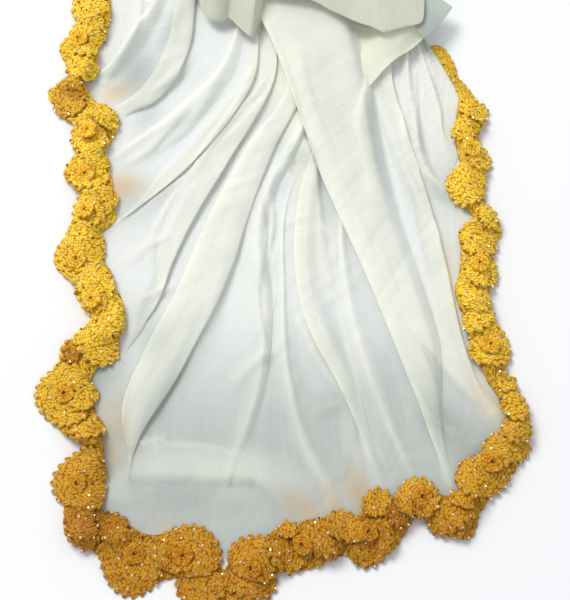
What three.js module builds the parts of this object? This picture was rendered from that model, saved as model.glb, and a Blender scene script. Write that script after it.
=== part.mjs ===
// A long chiffon headscarf with a crocheted edging, laid down: its gathered end is bunched up at the
// back and its spread end lies in front in long leaning folds. Millimetres, +Z up, +Y towards the bunch.
import * as THREE from "three";

// Driving dimensions, mm
const CLOTH_WALL = 1.2;
const EDGING_WALL = 2.2;
const EDGING_DEEP = 46; // seam to fan points, laid flat
const SEAM_GAP = 0.3;
const FAN_PITCH = 57; // one shell fan along the outer edge
const FAN_DEPTH = 7; // how far a fan's middle stands past its ends
const HUB_Y = 352; // the spread cloth starts here, in front of the bunch
const ROSE_RADIUS = 12;
const ROSE_TALL = 6;
const MIDDLE = { x: -5.9, y: 108.2 }; // the laid scarf's middle, which is the origin of its frame

const CLOTH = { color: 0xeef0e4, roughness: 0.72, metalness: 0 };
const YARN = { color: 0xe0a424, roughness: 0.8, metalness: 0 };

// The sewn edge and the outer edge of the edging, one row for each wave of its ruffle, from the top of
// the left side down, along the hem and up the right side.
// columns: seam x, seam y, outer x, outer y
const WAVES = [
  [-197, 414, -245, 416],
  [-198, 358, -241, 358],
  [-197, 332, -227, 335],
  [-209, 301, -250, 305],
  [-211, 276, -239, 273],
  [-223, 254, -236, 254],
  [-213, 237, -258, 240],
  [-199, 220, -246, 214],
  [-184, 206, -226, 201],
  [-187, 188, -228, 187],
  [-198, 165, -229, 165],
  [-187, 139, -236, 144],
  [-185, 113, -220, 114],
  [-181, 92, -222, 94],
  [-202, 67, -237, 68],
  [-197, 42, -241, 42],
  [-182, 19, -224, 16],
  [-170, -6, -210, -6],
  [-170, -30, -200, -28],
  [-175, -52, -217, -44],
  [-194, -77, -234, -64],
  [-201, -94, -242, -88],
  [-195, -113, -248, -110],
  [-188, -141, -228, -139],
  [-184, -164, -200, -163],
  [-182, -197, -226, -197],
  [-183, -225, -218, -225],
  [-170, -234, -210, -251],
  [-153, -241, -184, -264],
  [-134, -248, -157, -296],
  [-120, -247, -124, -290],
  [-99, -241, -102, -292],
  [-76, -255, -84, -314],
  [-60, -282, -49, -327],
  [-44, -262, -22, -300],
  [-19, -251, -6, -282],
  [2, -236, 17, -280],
  [22, -244, 37, -279],
  [55, -227, 57, -266],
  [70, -232, 77, -271],
  [92, -201, 99, -266],
  [107, -216, 118, -245],
  [130, -195, 134, -231],
  [153, -208, 158, -245],
  [170, -212, 182, -250],
  [175, -198, 192, -224],
  [182, -184, 204, -209],
  [198, -167, 218, -195],
  [210, -150, 238, -165],
  [231, -137, 247, -143],
  [221, -111, 236, -109],
  [207, -86, 221, -86],
  [196, -56, 231, -53],
  [185, -16, 208, -13],
  [179, 10, 212, 10],
  [186, 35, 221, 35],
  [187, 56, 220, 58],
  [188, 72, 227, 75],
  [201, 92, 218, 98],
  [181, 126, 211, 124],
  [190, 156, 218, 161],
  [186, 187, 207, 187],
  [189, 211, 218, 210],
  [192, 239, 203, 241],
  [180, 269, 189, 272],
  [163, 302, 175, 299],
];

// The folds of the spread cloth, from its left side round to its right side. Each follows a line from
// the gathered end to the seam. A ridge is a soft wave, a lap lies over to one side in three layers, and
// a roll is a tube that lies on a narrow neck.
// columns: line = points x, y; wave = the row of WAVES where it meets the seam; wide and high = at the
// gathered end, halfway and at the seam; side = the way it leans, 1 towards the right-hand neighbour;
// from and to = the part of the line where it stands at full height
const FOLDS = [
  { name: "left side", kind: "plain", wave: 1, line: [[-158, 362], [-176, 388]] },
  { name: "shoulder fold", kind: "ridge", wave: 5.7, side: -1, wide: [10, 12, 9], high: [8, 9, 5],
    line: [[-145, HUB_Y], [-157, 330], [-172, 300], [-192, 272]], from: 0, to: 0.85 },
  { name: "shoulder roll", kind: "roll", wave: 8.8, side: 1, wide: [22, 27, 16], high: [12, 13, 7],
    line: [[-124, 350], [-131, 305], [-152, 256], [-180, 222]], from: 0, to: 0.85 },
  { name: "upper fold", kind: "ridge", wave: 11.3, side: -1, wide: [5, 14, 10], high: [4, 9, 5],
    line: [[-46, 342], [-66, 272], [-108, 218], [-150, 186]], from: 0.15, to: 0.9 },
  { name: "upper lap", kind: "lap", wave: 14.6, side: 1, wide: [3, 14, 10], high: [4, 8, 5],
    line: [[-26, 341], [-36, 258], [-80, 182], [-124, 134], [-158, 104]], from: 0.25, to: 0.88 },
  { name: "middle lap", kind: "lap", wave: 19.4, side: 1, wide: [3, 20, 10], high: [4, 10, 6],
    line: [[-14, 340], [-12, 262], [-64, 156], [-101, 86], [-122, 34], [-130, 4], [-150, -28]],
    from: 0.2, to: 0.85 },
  { name: "long roll", kind: "roll", wave: 26.4, side: 1, wide: [5, 44, 44], high: [5, 15, 9],
    line: [[-8, 338], [1, 246], [-38, 182], [-84, 86], [-112, 11], [-140, -48], [-166, -122], [-160, -190]],
    from: 0.24, to: 0.82 },
  { name: "inner ridge", kind: "ridge", wave: 33.2, side: 1, wide: [2, 14, 8], high: [3, 10, 4],
    line: [[9, 336], [21, 212], [-24, 116], [-34, 60], [-26, 0], [-30, -90], [-54, -176], [-70, -232]],
    from: 0.36, to: 0.55 },
  { name: "hem ridge", kind: "ridge", wave: 38.6, side: 1, wide: [2, 3, 15], high: [2, 3, 8],
    line: [[17, 336], [32, 212], [0, 106], [-3, 20], [0, -80], [18, -158], [44, -208]],
    from: 0.58, to: 0.9 },
  { name: "hem lap", kind: "lap", wave: 41.3, side: -1, wide: [3, 12, 13], high: [3, 9, 7],
    line: [[25, 336], [42, 212], [17, 120], [12, 34], [25, -30], [57, -98], [81, -156]],
    from: 0.36, to: 0.9 },
  { name: "branch ridge", kind: "ridge", wave: 43, side: -1, wide: [2, 6, 16], high: [3, 6, 8],
    line: [[43, 335], [63, 220], [64, 150], [62, 62], [73, -20], [96, -104], [115, -158]],
    from: 0.45, to: 0.92 },
  { name: "great lap", kind: "lap", wave: 45.1, side: -1, wide: [86, 43, 22], high: [25, 15, 8],
    line: [[-26, 340], [-4, 284], [16, 222], [40, 146], [57, 102], [83, 38], [118, -57], [145, -138]],
    from: 0, to: 0.92 },
  { name: "side lap", kind: "lap", wave: 49.6, side: 1, wide: [7, 13, 12], high: [8, 9, 6],
    line: [[118, 332], [117, 262], [131, 195], [155, 100], [170, 26], [185, -57], [200, -104]],
    from: 0, to: 0.94 },
  { name: "flank ridge", kind: "ridge", wave: 58.8, side: 1, wide: [4, 9, 8], high: [5, 9, 6],
    line: [[132, 330], [136, 240], [142, 176], [156, 136], [182, 108]], from: 0.1, to: 0.9 },
  { name: "flank edge", kind: "ridge", wave: 61.8, side: 1, wide: [3, 6, 6], high: [4, 7, 4],
    line: [[141, 331], [154, 276], [166, 225], [175, 186]], from: 0.1, to: 0.9 },
  { name: "right side", kind: "plain", wave: 66, line: [[152, 333], [153, 318]] },
];

// Folds that lie across the others: soft rolls raised on the cloth as it lies.
// columns: line = points x, y; wide = half of its width; high
const CROSS_FOLDS = [
  { name: "hem roll", line: [[-160, -158], [-90, -158], [-36, -172], [-8, -206], [0, -236]],
    wide: 26, high: 13 },
  { name: "corner swirl", line: [[-176, -146], [-158, -178], [-128, -188]], wide: 14, high: 6 },
];

const ROWS = [0, 0.08, 0.17, 0.27, 0.38, 0.49, 0.6, 0.71, 0.82, 0.91, 1]; // along each fold line

const vec = (x, y, z) => new THREE.Vector3(x, y, z);
const mix = (a, b, t) => a + (b - a) * t;
const ease = (a, b, t) => {
  const k = Math.min(Math.max((t - a) / (b - a), 0), 1);
  return k * k * (3 - 2 * k);
};
// A value given at the start, halfway and at the end
const along = ([start, middle, end], t) =>
  t < 0.5 ? mix(start, middle, t * 2) : mix(middle, end, t * 2 - 1);

const curveThrough = (points) => new THREE.CatmullRomCurve3(points.map(([x, y]) => vec(x, y, 0)));

// ---- The seam and the edging ----
const seamCurve = curveThrough(WAVES.map(([x, y]) => [x, y]));
const outerCurve = curveThrough(WAVES.map(([, , x, y]) => [x, y]));
const atWave = (curve, wave) => curve.getPoint(Math.min(Math.max((wave - 1) / (WAVES.length - 1), 0), 1));

// How high the edging arches where its ruffle is pushed together
function archAt(wave) {
  const reach = atWave(seamCurve, wave).distanceTo(atWave(outerCurve, wave));
  const spare = Math.sqrt(Math.max(EDGING_DEEP ** 2 - reach ** 2, 0));
  const underWrap = 1 - 0.6 * ease(62.5, 64.5, wave);
  return Math.max(3, Math.min(0.44 * spare, 0.9 * reach) * underWrap);
}

function seamPoint(wave) {
  const p = atWave(seamCurve, wave);
  return vec(p.x, p.y, CLOTH_WALL / 2 + 0.16 * archAt(wave));
}

// ---- Cross sections of the folds: x across the fold, z up ----
function foldSection(kind, side, wide, high) {
  const ramp = 6 + 0.5 * high;
  const turn = 0.22 * high;
  let points = [[0, 0]];
  if (kind === "ridge")
    points = [
      [-wide, 0],
      [-0.35 * wide, 0.5 * high],
      [0.3 * wide, high],
      [0.7 * wide, 0.5 * high],
      [wide, 0],
    ];
  if (kind === "lap")
    points = [
      [-wide - ramp, 0],
      [-wide - 0.5 * ramp, 0.5 * high],
      [-wide, 0.95 * high],
      [-0.5 * wide, 1.03 * high],
      [-0.04 * wide, high],
      [turn, 0.8 * high],
      [-0.04 * wide, 0.6 * high],
      [-0.94 * wide, 0.56 * high],
      [-wide - turn * 0.8, 0.3 * high],
      [-wide, 0],
    ];
  if (kind === "roll")
    points = [
      [-0.22 * wide, 0],
      [-0.18 * wide, 0.28 * high],
      [-0.46 * wide, 0.36 * high],
      [-0.52 * wide, 0.62 * high],
      [-0.34 * wide, 0.95 * high],
      [0, 1.06 * high],
      [0.34 * wide, 0.95 * high],
      [0.52 * wide, 0.62 * high],
      [0.46 * wide, 0.36 * high],
      [0.18 * wide, 0.28 * high],
      [0.22 * wide, 0],
    ];
  if (side < 0) points = points.map(([x, z]) => [-x, z]).reverse();
  if (kind === "roll") points = points.map(([x, z]) => [x + 0.5 * wide, z]);
  return points;
}

// The section at part t of a fold's line, opened out evenly where the fold ends
function openedSection(fold, t) {
  const wide = along(fold.wide, t);
  const high = along(fold.high, t);
  const full = foldSection(fold.kind, fold.side, wide, high);
  const standing = ease(fold.from - 0.15, fold.from, t) * (1 - 0.75 * ease(fold.to, 1, t));
  const last = full.length - 1;
  // Where it stands too low to fold over, it lies open
  const folded = fold.kind === "ridge" ? 1 : ease(4.5, 7.5, high * standing);
  return full.map(([x, z], i) => {
    const even = mix(Math.min(...full.map((p) => p[0])), Math.max(...full.map((p) => p[0])), i / last);
    return [mix(even, x, folded), z * standing];
  });
}

// Height that the cross folds add at a point of the cloth
function crossLift(p) {
  let lift = 0;
  for (const { curve, wide, high } of crossCurves) {
    let nearest = Infinity;
    for (const q of curve) nearest = Math.min(nearest, Math.hypot(p.x - q.x, p.y - q.y));
    if (nearest < wide) lift = Math.max(lift, high * Math.cos((Math.PI * nearest) / (2 * wide)) ** 2);
  }
  return lift;
}
const crossCurves = CROSS_FOLDS.map((f) => ({ ...f, curve: curveThrough(f.line).getPoints(24) }));

// ---- The bunch: the hidden turns of the scarf as one soft heap, layered at its edges ----
const BUNCH_AROUND = 36; // sides of each layer
const BUNCH = { x: 4, y: 427, halfX: 154, halfY: 70, tall: 43, square: 3.2 };
// columns: height share, size share
const BUNCH_LAYERS = [
  [0, 0.97],
  [0.12, 1],
  [0.24, 0.97],
  [0.26, 0.93],
  [0.4, 0.95],
  [0.5, 0.92],
  [0.52, 0.88],
  [0.68, 0.88],
  [0.78, 0.84],
  [0.92, 0.74],
  [1, 0.5],
];
function bunchOutline(angle, size, layer) {
  const wobble = 1 + 0.03 * Math.sin(3 * angle + layer) + 0.02 * Math.sin(7 * angle + 2 * layer);
  const c = Math.cos(angle);
  const s = Math.sin(angle);
  const round = (Math.abs(c) ** BUNCH.square + Math.abs(s) ** BUNCH.square) ** (-1 / BUNCH.square);
  const reach = size * wobble * round;
  return [BUNCH.x + BUNCH.halfX * reach * c, BUNCH.y + BUNCH.halfY * reach * s];
}
function bunch() {
  const around = BUNCH_AROUND;
  const place = [];
  BUNCH_LAYERS.forEach(([height, size], layer) => {
    for (let i = 0; i < around; i += 1) {
      const [x, y] = bunchOutline((2 * Math.PI * i) / around, size, layer * 0.5);
      place.push(x, y, BUNCH.tall * height);
    }
  });
  place.push(BUNCH.x, BUNCH.y, BUNCH.tall, BUNCH.x, BUNCH.y, 0);
  const layers = BUNCH_LAYERS.length;
  const faces = [];
  for (let i = 0; i < around; i += 1) {
    const j = (i + 1) % around;
    for (let k = 0; k < layers - 1; k += 1) {
      const [a, b] = [k * around + i, k * around + j];
      faces.push(a, b, b + around, a, b + around, a + around);
    }
    faces.push((layers - 1) * around + i, (layers - 1) * around + j, layers * around);
    faces.push(j, i, layers * around + 1);
  }
  const shape = new THREE.BufferGeometry()
    .setAttribute("position", new THREE.Float32BufferAttribute(place, 3))
    .setIndex(faces);
  return piece("cloth_bunch", shape, CLOTH);
}

// Height of the bunch's top over a point
function bunchTop(x, y) {
  const across = (Math.abs(x - BUNCH.x) / BUNCH.halfX) ** BUNCH.square;
  const deep = (Math.abs(y - BUNCH.y) / BUNCH.halfY) ** BUNCH.square;
  const size = (across + deep) ** (1 / BUNCH.square);
  const k = BUNCH_LAYERS.findLastIndex(([, layerSize]) => layerSize >= size);
  const [a, b] = [BUNCH_LAYERS[Math.max(k, 0)], BUNCH_LAYERS[Math.min(k + 1, BUNCH_LAYERS.length - 1)]];
  const share = a[1] === b[1] ? 0 : (a[1] - size) / (a[1] - b[1]);
  return BUNCH.tall * mix(a[0], b[0], Math.min(Math.max(share, 0), 1));
}

// Where the front of the bunch stands furthest forward at a place along it
function bunchFront(x) {
  let front = BUNCH.y;
  BUNCH_LAYERS.forEach(([, size], layer) => {
    for (let i = 0; i < BUNCH_AROUND; i += 1) {
      const turns = [i, i + 1].map((n) => (2 * Math.PI * n) / BUNCH_AROUND);
      const [a, b] = turns.map((angle) => bunchOutline(angle, size, layer * 0.5));
      if ((a[0] - x) * (b[0] - x) > 0) continue;
      front = Math.min(front, mix(a[1], b[1], (x - a[0]) / (b[0] - a[0])));
    }
  });
  return front;
}

// ---- The spread cloth: lines from the gathered end to the seam, row by row ----
const WAVE_STEP = 0.13; // between neighbouring lines of one fold, at the seam
const PLAIN_STEP = 1.1; // between plain lines, at the seam

function foldLines(fold) {
  const seamEnd = seamPoint(fold.wave);
  const curve = curveThrough([...fold.line, [seamEnd.x, seamEnd.y]]);
  const count = fold.kind === "plain" ? 1 : openedSection(fold, 0.5).length;
  const waves = Array.from({ length: count }, (_, i) => fold.wave + (i - (count - 1) / 2) * WAVE_STEP);
  const alongSeam = atWave(seamCurve, fold.wave + 0.5).sub(atWave(seamCurve, fold.wave - 0.5)).normalize();
  const rows = ROWS.map((t) => {
    const p = curve.getPointAt(t);
    const d = curve.getTangentAt(t);
    const across = vec(1, 0, 0).lerp(vec(-d.y, d.x, 0), ease(0, 0.5, t));
    across.lerp(alongSeam, ease(0.6, 1, t)).normalize();
    const section = fold.kind === "plain" ? [[0, 0]] : openedSection(fold, t);
    const edge = waves.map((w, i) => {
      const own = seamEnd.clone().addScaledVector(alongSeam, section[i][0]);
      return atWave(seamCurve, w).sub(vec(own.x, own.y, 0)).multiplyScalar(ease(0.7, 1, t));
    });
    return section.map(([x, z], i) =>
      vec(p.x + across.x * x + edge[i].x, p.y + across.y * x + edge[i].y, z),
    );
  });
  return { waves, rows };
}

function clothLines() {
  const lines = [];
  const folds = FOLDS.map(foldLines);
  folds.forEach((fold, k) => {
    fold.waves.forEach((wave, i) => lines.push({ wave, at: fold.rows.map((row) => row[i]) }));
    const next = folds[k + 1];
    if (!next) return;
    const start = fold.waves.at(-1);
    const gap = next.waves[0] - start;
    const count = Math.max(0, Math.round(gap / PLAIN_STEP) - 1);
    for (let j = 1; j <= count; j += 1) {
      const f = j / (count + 1);
      const wave = start + gap * f;
      const end = fold.rows.at(-1).at(-1).clone().lerp(next.rows.at(-1)[0], f);
      const bow = atWave(seamCurve, wave).sub(vec(end.x, end.y, 0));
      const at = ROWS.map((t, r) =>
        fold.rows[r].at(-1).clone().lerp(next.rows[r][0], f).addScaledVector(bow, t ** 3).setZ(0),
      );
      lines.push({ wave, at });
    }
  });
  return lines;
}

// Where one side of a wall lies over a point of the grid on its middle. The wall's edge is upright along
// the row that is sewn to a neighbour.
function wallSide(whole, i, j, offset, sewnRow) {
  const row = whole[i];
  const down = whole[Math.min(i + 1, whole.length - 1)][j].clone().sub(whole[Math.max(i - 1, 0)][j]);
  const over = row[Math.min(j + 1, row.length - 1)].clone().sub(row[Math.max(j - 1, 0)]);
  const upright = i === sewnRow || Math.abs(row[j].z - Math.abs(offset)) < 0.01;
  const normal = upright ? vec(0, 0, 1) : down.cross(over).normalize();
  return { point: row[j].clone().addScaledVector(normal, offset), over };
}

// Turns a grid of points on the middle of a wall into a closed solid of that thickness. Only the columns
// from first to last are used, and where the wall goes on past them it stops half a seam's gap short.
function wallSolid(whole, thick, sewnRow = -1, first = 0, last = whole[0].length - 1) {
  const rows = whole.length;
  const columns = last - first + 1;
  const place = [];
  for (const side of [1, -1])
    whole.forEach((row, i) => {
      for (let j = first; j <= last; j += 1) {
        const { point, over } = wallSide(whole, i, j, (side * thick) / 2, sewnRow);
        const cut = (j === first && first > 0) - (j === last && last < row.length - 1);
        point.addScaledVector(over.setZ(0).normalize(), cut * 0.8 * SEAM_GAP);
        place.push(point.x, point.y, Math.max(point.z, 0));
      }
    });
  const top = (i, j) => i * columns + j;
  const bottom = (i, j) => rows * columns + top(i, j);
  const faces = [];
  const quad = (a, b, c, d) => faces.push(a, b, c, a, c, d);
  for (let i = 0; i < rows - 1; i += 1)
    for (let j = 0; j < columns - 1; j += 1) {
      quad(top(i, j), top(i + 1, j), top(i + 1, j + 1), top(i, j + 1));
      quad(bottom(i, j), bottom(i, j + 1), bottom(i + 1, j + 1), bottom(i + 1, j));
    }
  for (let i = 0; i < rows - 1; i += 1) {
    quad(top(i, 0), bottom(i, 0), bottom(i + 1, 0), top(i + 1, 0));
    quad(top(i + 1, columns - 1), bottom(i + 1, columns - 1), bottom(i, columns - 1), top(i, columns - 1));
  }
  for (let j = 0; j < columns - 1; j += 1) {
    quad(top(0, j + 1), bottom(0, j + 1), bottom(0, j), top(0, j));
    quad(top(rows - 1, j), bottom(rows - 1, j), bottom(rows - 1, j + 1), top(rows - 1, j + 1));
  }
  return new THREE.BufferGeometry()
    .setAttribute("position", new THREE.Float32BufferAttribute(place, 3))
    .setIndex(faces);
}

function piece(name, geometry, finish) {
  const mesh = new THREE.Mesh(geometry, new THREE.MeshStandardMaterial(finish));
  mesh.name = name;
  return mesh;
}

const lines = clothLines();
const JOINED = 142; // half the width over which the cloth's gathered end meets the bunch
const END_GAP = 0.6; // between the two there

function spreadCloth() {
  const grid = ROWS.map((t, r) =>
    lines.map(({ wave, at }) => {
      const p = at[r];
      const joined = r === 0 && Math.abs(p.x - BUNCH.x) < JOINED;
      if (joined) p.y = bunchFront(p.x) - END_GAP;
      const seamShare = ease(0.8, 1, t);
      const lift = crossLift(p) * (1 - ease(0.9, 1, t));
      return vec(p.x, p.y, mix(CLOTH_WALL / 2 + p.z + lift, seamPoint(wave).z, seamShare));
    }),
  );
  return piece("cloth_spread", wallSolid(grid, CLOTH_WALL, grid.length - 1), CLOTH);
}

// ---- The edging, in stretches between named waves ----
const STRETCHES = [
  { name: "edging_left_top", from: 1, to: 11 },
  { name: "edging_left_middle", from: 11, to: 18 },
  { name: "edging_left_low", from: 18, to: 29 },
  { name: "edging_hem_left", from: 29, to: 37 },
  { name: "edging_hem_right", from: 37, to: 43.5 },
  { name: "edging_corner", from: 43.5, to: 51.5 },
  { name: "edging_right_low", from: 51.5, to: 58.5 },
  { name: "edging_right_top", from: 58.5, to: 66 },
];
const ACROSS = [0, 0.34, 0.68, 1]; // from the seam to the fan points

// Distance along the outer edge, so that the fans stay one size
const outerMiles = [0];
for (let i = 1; i <= 20 * (WAVES.length - 1); i += 1) {
  const step = atWave(outerCurve, 1 + i / 20).distanceTo(atWave(outerCurve, 1 + (i - 1) / 20));
  outerMiles.push(outerMiles.at(-1) + step);
}
function fanReach(wave) {
  const i = Math.min(Math.max((wave - 1) * 20, 0), outerMiles.length - 1.001);
  const mile = mix(outerMiles[Math.floor(i)], outerMiles[Math.floor(i) + 1], i % 1);
  return FAN_DEPTH * (Math.abs(Math.sin((Math.PI * mile) / FAN_PITCH)) ** 0.7 - 0.6);
}

// A point on the middle of the edging's wall; seam is where its sewn edge lies
function edgingPoint(wave, across, seam) {
  const outer = atWave(outerCurve, wave);
  const out = vec(outer.x - seam.x, outer.y - seam.y, 0);
  const reach = out.length() + fanReach(wave);
  out.normalize();
  const arch = archAt(wave);
  const place = SEAM_GAP + (reach - SEAM_GAP) * across - 0.2 * arch * Math.sin(Math.PI * across);
  const rest = EDGING_WALL / 2;
  const z = rest + (seam.z - CLOTH_WALL / 2) * (1 - across) + arch * Math.sin(Math.PI * across ** 0.85);
  return vec(seam.x + out.x * place, seam.y + out.y * place, z);
}

// Stations of the edging lie on the cloth's own seam points, between them, and where stretches meet
function edgingStations() {
  const sewn = [];
  for (let i = 0; i < lines.length - 1; i += 1) {
    const [a, b] = [lines[i].wave, lines[i + 1].wave];
    const parts = b - a > 0.3 ? 3 : 1;
    const cuts = STRETCHES.map(({ to }) => to).filter((to) => to > a && to < b);
    const waves = Array.from({ length: parts }, (_, k) => mix(a, b, k / parts));
    const clear = waves.filter((w) => cuts.every((cut) => Math.abs(w - cut) > 0.05));
    for (const wave of [...clear, ...cuts].sort((c, d) => c - d))
      sewn.push({ wave, seam: seamPoint(a).lerp(seamPoint(b), (wave - a) / (b - a)) });
  }
  sewn.push({ wave: lines.at(-1).wave, seam: seamPoint(lines.at(-1).wave) });
  return sewn;
}

const stations = edgingStations();
const edgingGrid = ACROSS.map((across) => stations.map(({ wave, seam }) => edgingPoint(wave, across, seam)));

function edgingStretch({ name, from, to }) {
  const first = stations.findIndex(({ wave }) => wave >= from);
  const last = stations.findLastIndex(({ wave }) => wave <= to);
  return piece(name, wallSolid(edgingGrid, EDGING_WALL, 0, first, last), YARN);
}

// ---- Turns of the scarf that come out of the bunch over the gathered folds ----
// Each is a wall from its back edge, which lies on the bunch, down to its front edge, which turns under.
// columns: x, front y, front z
const TURNS = [
  { name: "cloth_wrap", backY: 398, crown: 5, lip: 14,
    front: [[-30, 345, 34], [0, 346, 34], [24, 340, 34], [48, 328, 33], [74, 314, 32], [100, 305, 31],
      [122, 301, 32], [144, 308, 33], [156, 324, 34], [162, 346, 35]] },
  { name: "cloth_lobes", backY: 388, crown: 6, lip: 9,
    front: [[-104, 350, 24], [-95, 338, 19], [-86, 322, 16], [-76, 316, 15], [-66, 320, 16], [-56, 312, 15],
      [-48, 302, 15], [-42, 304, 16], [-39, 316, 21]] },
];
function turnOver({ name, backY, crown, lip, front }) {
  const grid = [0, 0.3, 0.6, 0.85, 1].map((t) =>
    front.map(([x, y, z]) => {
      const backX = mix(x, BUNCH.x, 0.2);
      const seat = bunchTop(backX, backY) + CLOTH_WALL / 2 + 0.9;
      const height = mix(seat, z, t ** 1.6) + crown * Math.sin(Math.PI * t);
      return vec(mix(backX, x, t), mix(backY, y, t), height);
    }),
  );
  grid.push(front.map(([x, y, z]) => vec(x, y + 0.2, z - 2)));
  grid.push(front.map(([x, y, z]) => vec(x, y + lip, z - 3.4)));
  return piece(name, wallSolid(grid, CLOTH_WALL), CLOTH);
}

// The short swag beside the great lap and the single corner that lies out to its right. Both come from
// under the wrap's front edge, the corner over the swag.
// columns: x, lower y, lower z
const SWAG = [
  [104, 264, 15],
  [111, 273, 16],
  [121, 281, 16],
  [134, 289, 16],
  [146, 296, 16],
  [155, 303, 16],
];
// columns: x, upper y, lower y, z
const CORNER = [
  [140, 334, 326, 28.4],
  [150, 340, 318, 28.6],
  [160, 344, 312, 28.6],
  [172, 345, 318, 26],
  [182, 338, 330, 25],
];
// How far they start behind the wrap's front edge and below it, and the swag under the corner
const UNDER = { deep: 8, drop: 4.3, layer: 2.6 };

// The wrap's front edge at a place along it
function wrapFront(x) {
  const { front } = TURNS[0];
  const k = Math.max(front.findLastIndex((p) => p[0] <= x), 0);
  const [a, b] = [front[k], front[k + 1]];
  const f = (x - a[0]) / (b[0] - a[0]);
  return { y: mix(a[1], b[1], f), z: mix(a[2], b[2], f) };
}

function swag() {
  const grid = [0, 0.33, 0.67, 1].map((t) =>
    SWAG.map(([x, lower, z]) => {
      const edge = wrapFront(x);
      const start = edge.z - UNDER.drop - UNDER.layer * ease(126, 140, x);
      return vec(x, mix(edge.y + UNDER.deep, lower, t), mix(start, z, ease(0, 1, t)));
    }),
  );
  return piece("cloth_swag", wallSolid(grid, CLOTH_WALL), CLOTH);
}

function corner() {
  const grid = [0, 0.33, 0.67, 1].map((t) =>
    CORNER.map(([x, upper, lower, z]) => vec(x, mix(upper, lower, t), z - 0.5 * t)),
  );
  return piece("cloth_corner", wallSolid(grid, CLOTH_WALL), CLOTH);
}

// ---- The edging of the hidden end, round the foot of the bunch ----
// start and end in half turns; lift = how high its sewn edge lies; gap = between that and the bunch
const BACK = { waves: 13, ruffle: 9, start: -0.12, end: 1.08, lift: 2.8, gap: 0.7 };
const BACK_PARTS = ["edging_back_right", "edging_back_middle", "edging_back_left"];
const BACK_STEPS = 24; // along each part

// It starts where the bunch's lowest layer stands furthest out
const backStations = Array.from({ length: BACK_PARTS.length * BACK_STEPS + 1 }, (_, i) => {
  const share = i / (BACK_PARTS.length * BACK_STEPS);
  const angle = Math.PI * mix(BACK.start, BACK.end, share);
  const [x, y] = bunchOutline(angle, 1, 0.5);
  const out = vec(Math.cos(angle) * BUNCH.halfY, Math.sin(angle) * BUNCH.halfX, 0).normalize();
  const wave = Math.sin(2 * Math.PI * BACK.waves * share);
  return { foot: vec(x, y, 0), out, reach: EDGING_DEEP - 12 + BACK.ruffle * wave, arch: 9 - 6 * wave };
});
const backGrid = ACROSS.map((across) =>
  backStations.map(({ foot, out, reach, arch }) => {
    const z = EDGING_WALL / 2 + BACK.lift * (1 - across) + arch * Math.sin(Math.PI * across ** 0.85);
    return foot.clone().addScaledVector(out, BACK.gap + reach * across).setZ(z);
  }),
);
function backStretch(name, index) {
  const solid = wallSolid(backGrid, EDGING_WALL, 0, index * BACK_STEPS, (index + 1) * BACK_STEPS);
  return piece(name, solid, YARN);
}

// ---- Crocheted roses, sewn on the waves of the edging ----
// columns: wave, share of the way from the seam to the fan points
const ROSES = [
  [4, 0.5],
  [10, 0.6],
  [12, 0.55],
  [13.9, 0.7],
  [16, 0.5],
  [18, 0.66],
  [22.6, 0.5],
  [26, 0.55],
  [29.8, 0.45],
  [32, 0.6],
  [35, 0.55],
  [37.6, 0.5],
  [40.2, 0.5],
  [43.2, 0.5],
  [48, 0.45],
  [53, 0.5],
  [56, 0.5],
  [61.3, 0.5],
];
const ROSE_CLEAR = 0.3; // between a rose and the edging under it
const ROSE_SPAN = { wave: 0.5, share: 0.28 }; // about a rose's half width, along and across the edging
const ROSE_FOOT = 0.8; // the flat of its underside, as a share of its radius
const ROSE_LIP = 1.8; // its edge lies so much higher than that flat

// Height above c, along the normal, that clears the top of the edging's wall under a rose
function roseFoot(c, normal) {
  const top = (i, j) => wallSide(edgingGrid, i, j, EDGING_WALL / 2, 0).point;
  const parts = [0, 0.25, 0.5, 0.75, 1];
  let foot = 0;
  for (let i = 0; i < ACROSS.length - 1; i += 1)
    for (let j = 0; j < stations.length - 1; j += 1) {
      if (edgingGrid[i][j].distanceTo(c) > 3 * ROSE_RADIUS) continue;
      for (const u of parts)
        for (const v of parts) {
          const far = top(i + 1, j).lerp(top(i + 1, j + 1), u);
          const p = top(i, j).lerp(top(i, j + 1), u).lerp(far, v).sub(c);
          const up = p.dot(normal);
          const out = Math.sqrt(Math.max(p.lengthSq() - up * up, 0)) / ROSE_RADIUS;
          if (out > 1 || up < -ROSE_RADIUS) continue;
          foot = Math.max(foot, up - (ROSE_LIP * Math.max(out - ROSE_FOOT, 0)) / (1 - ROSE_FOOT));
        }
    }
  return foot + ROSE_CLEAR;
}

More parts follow.
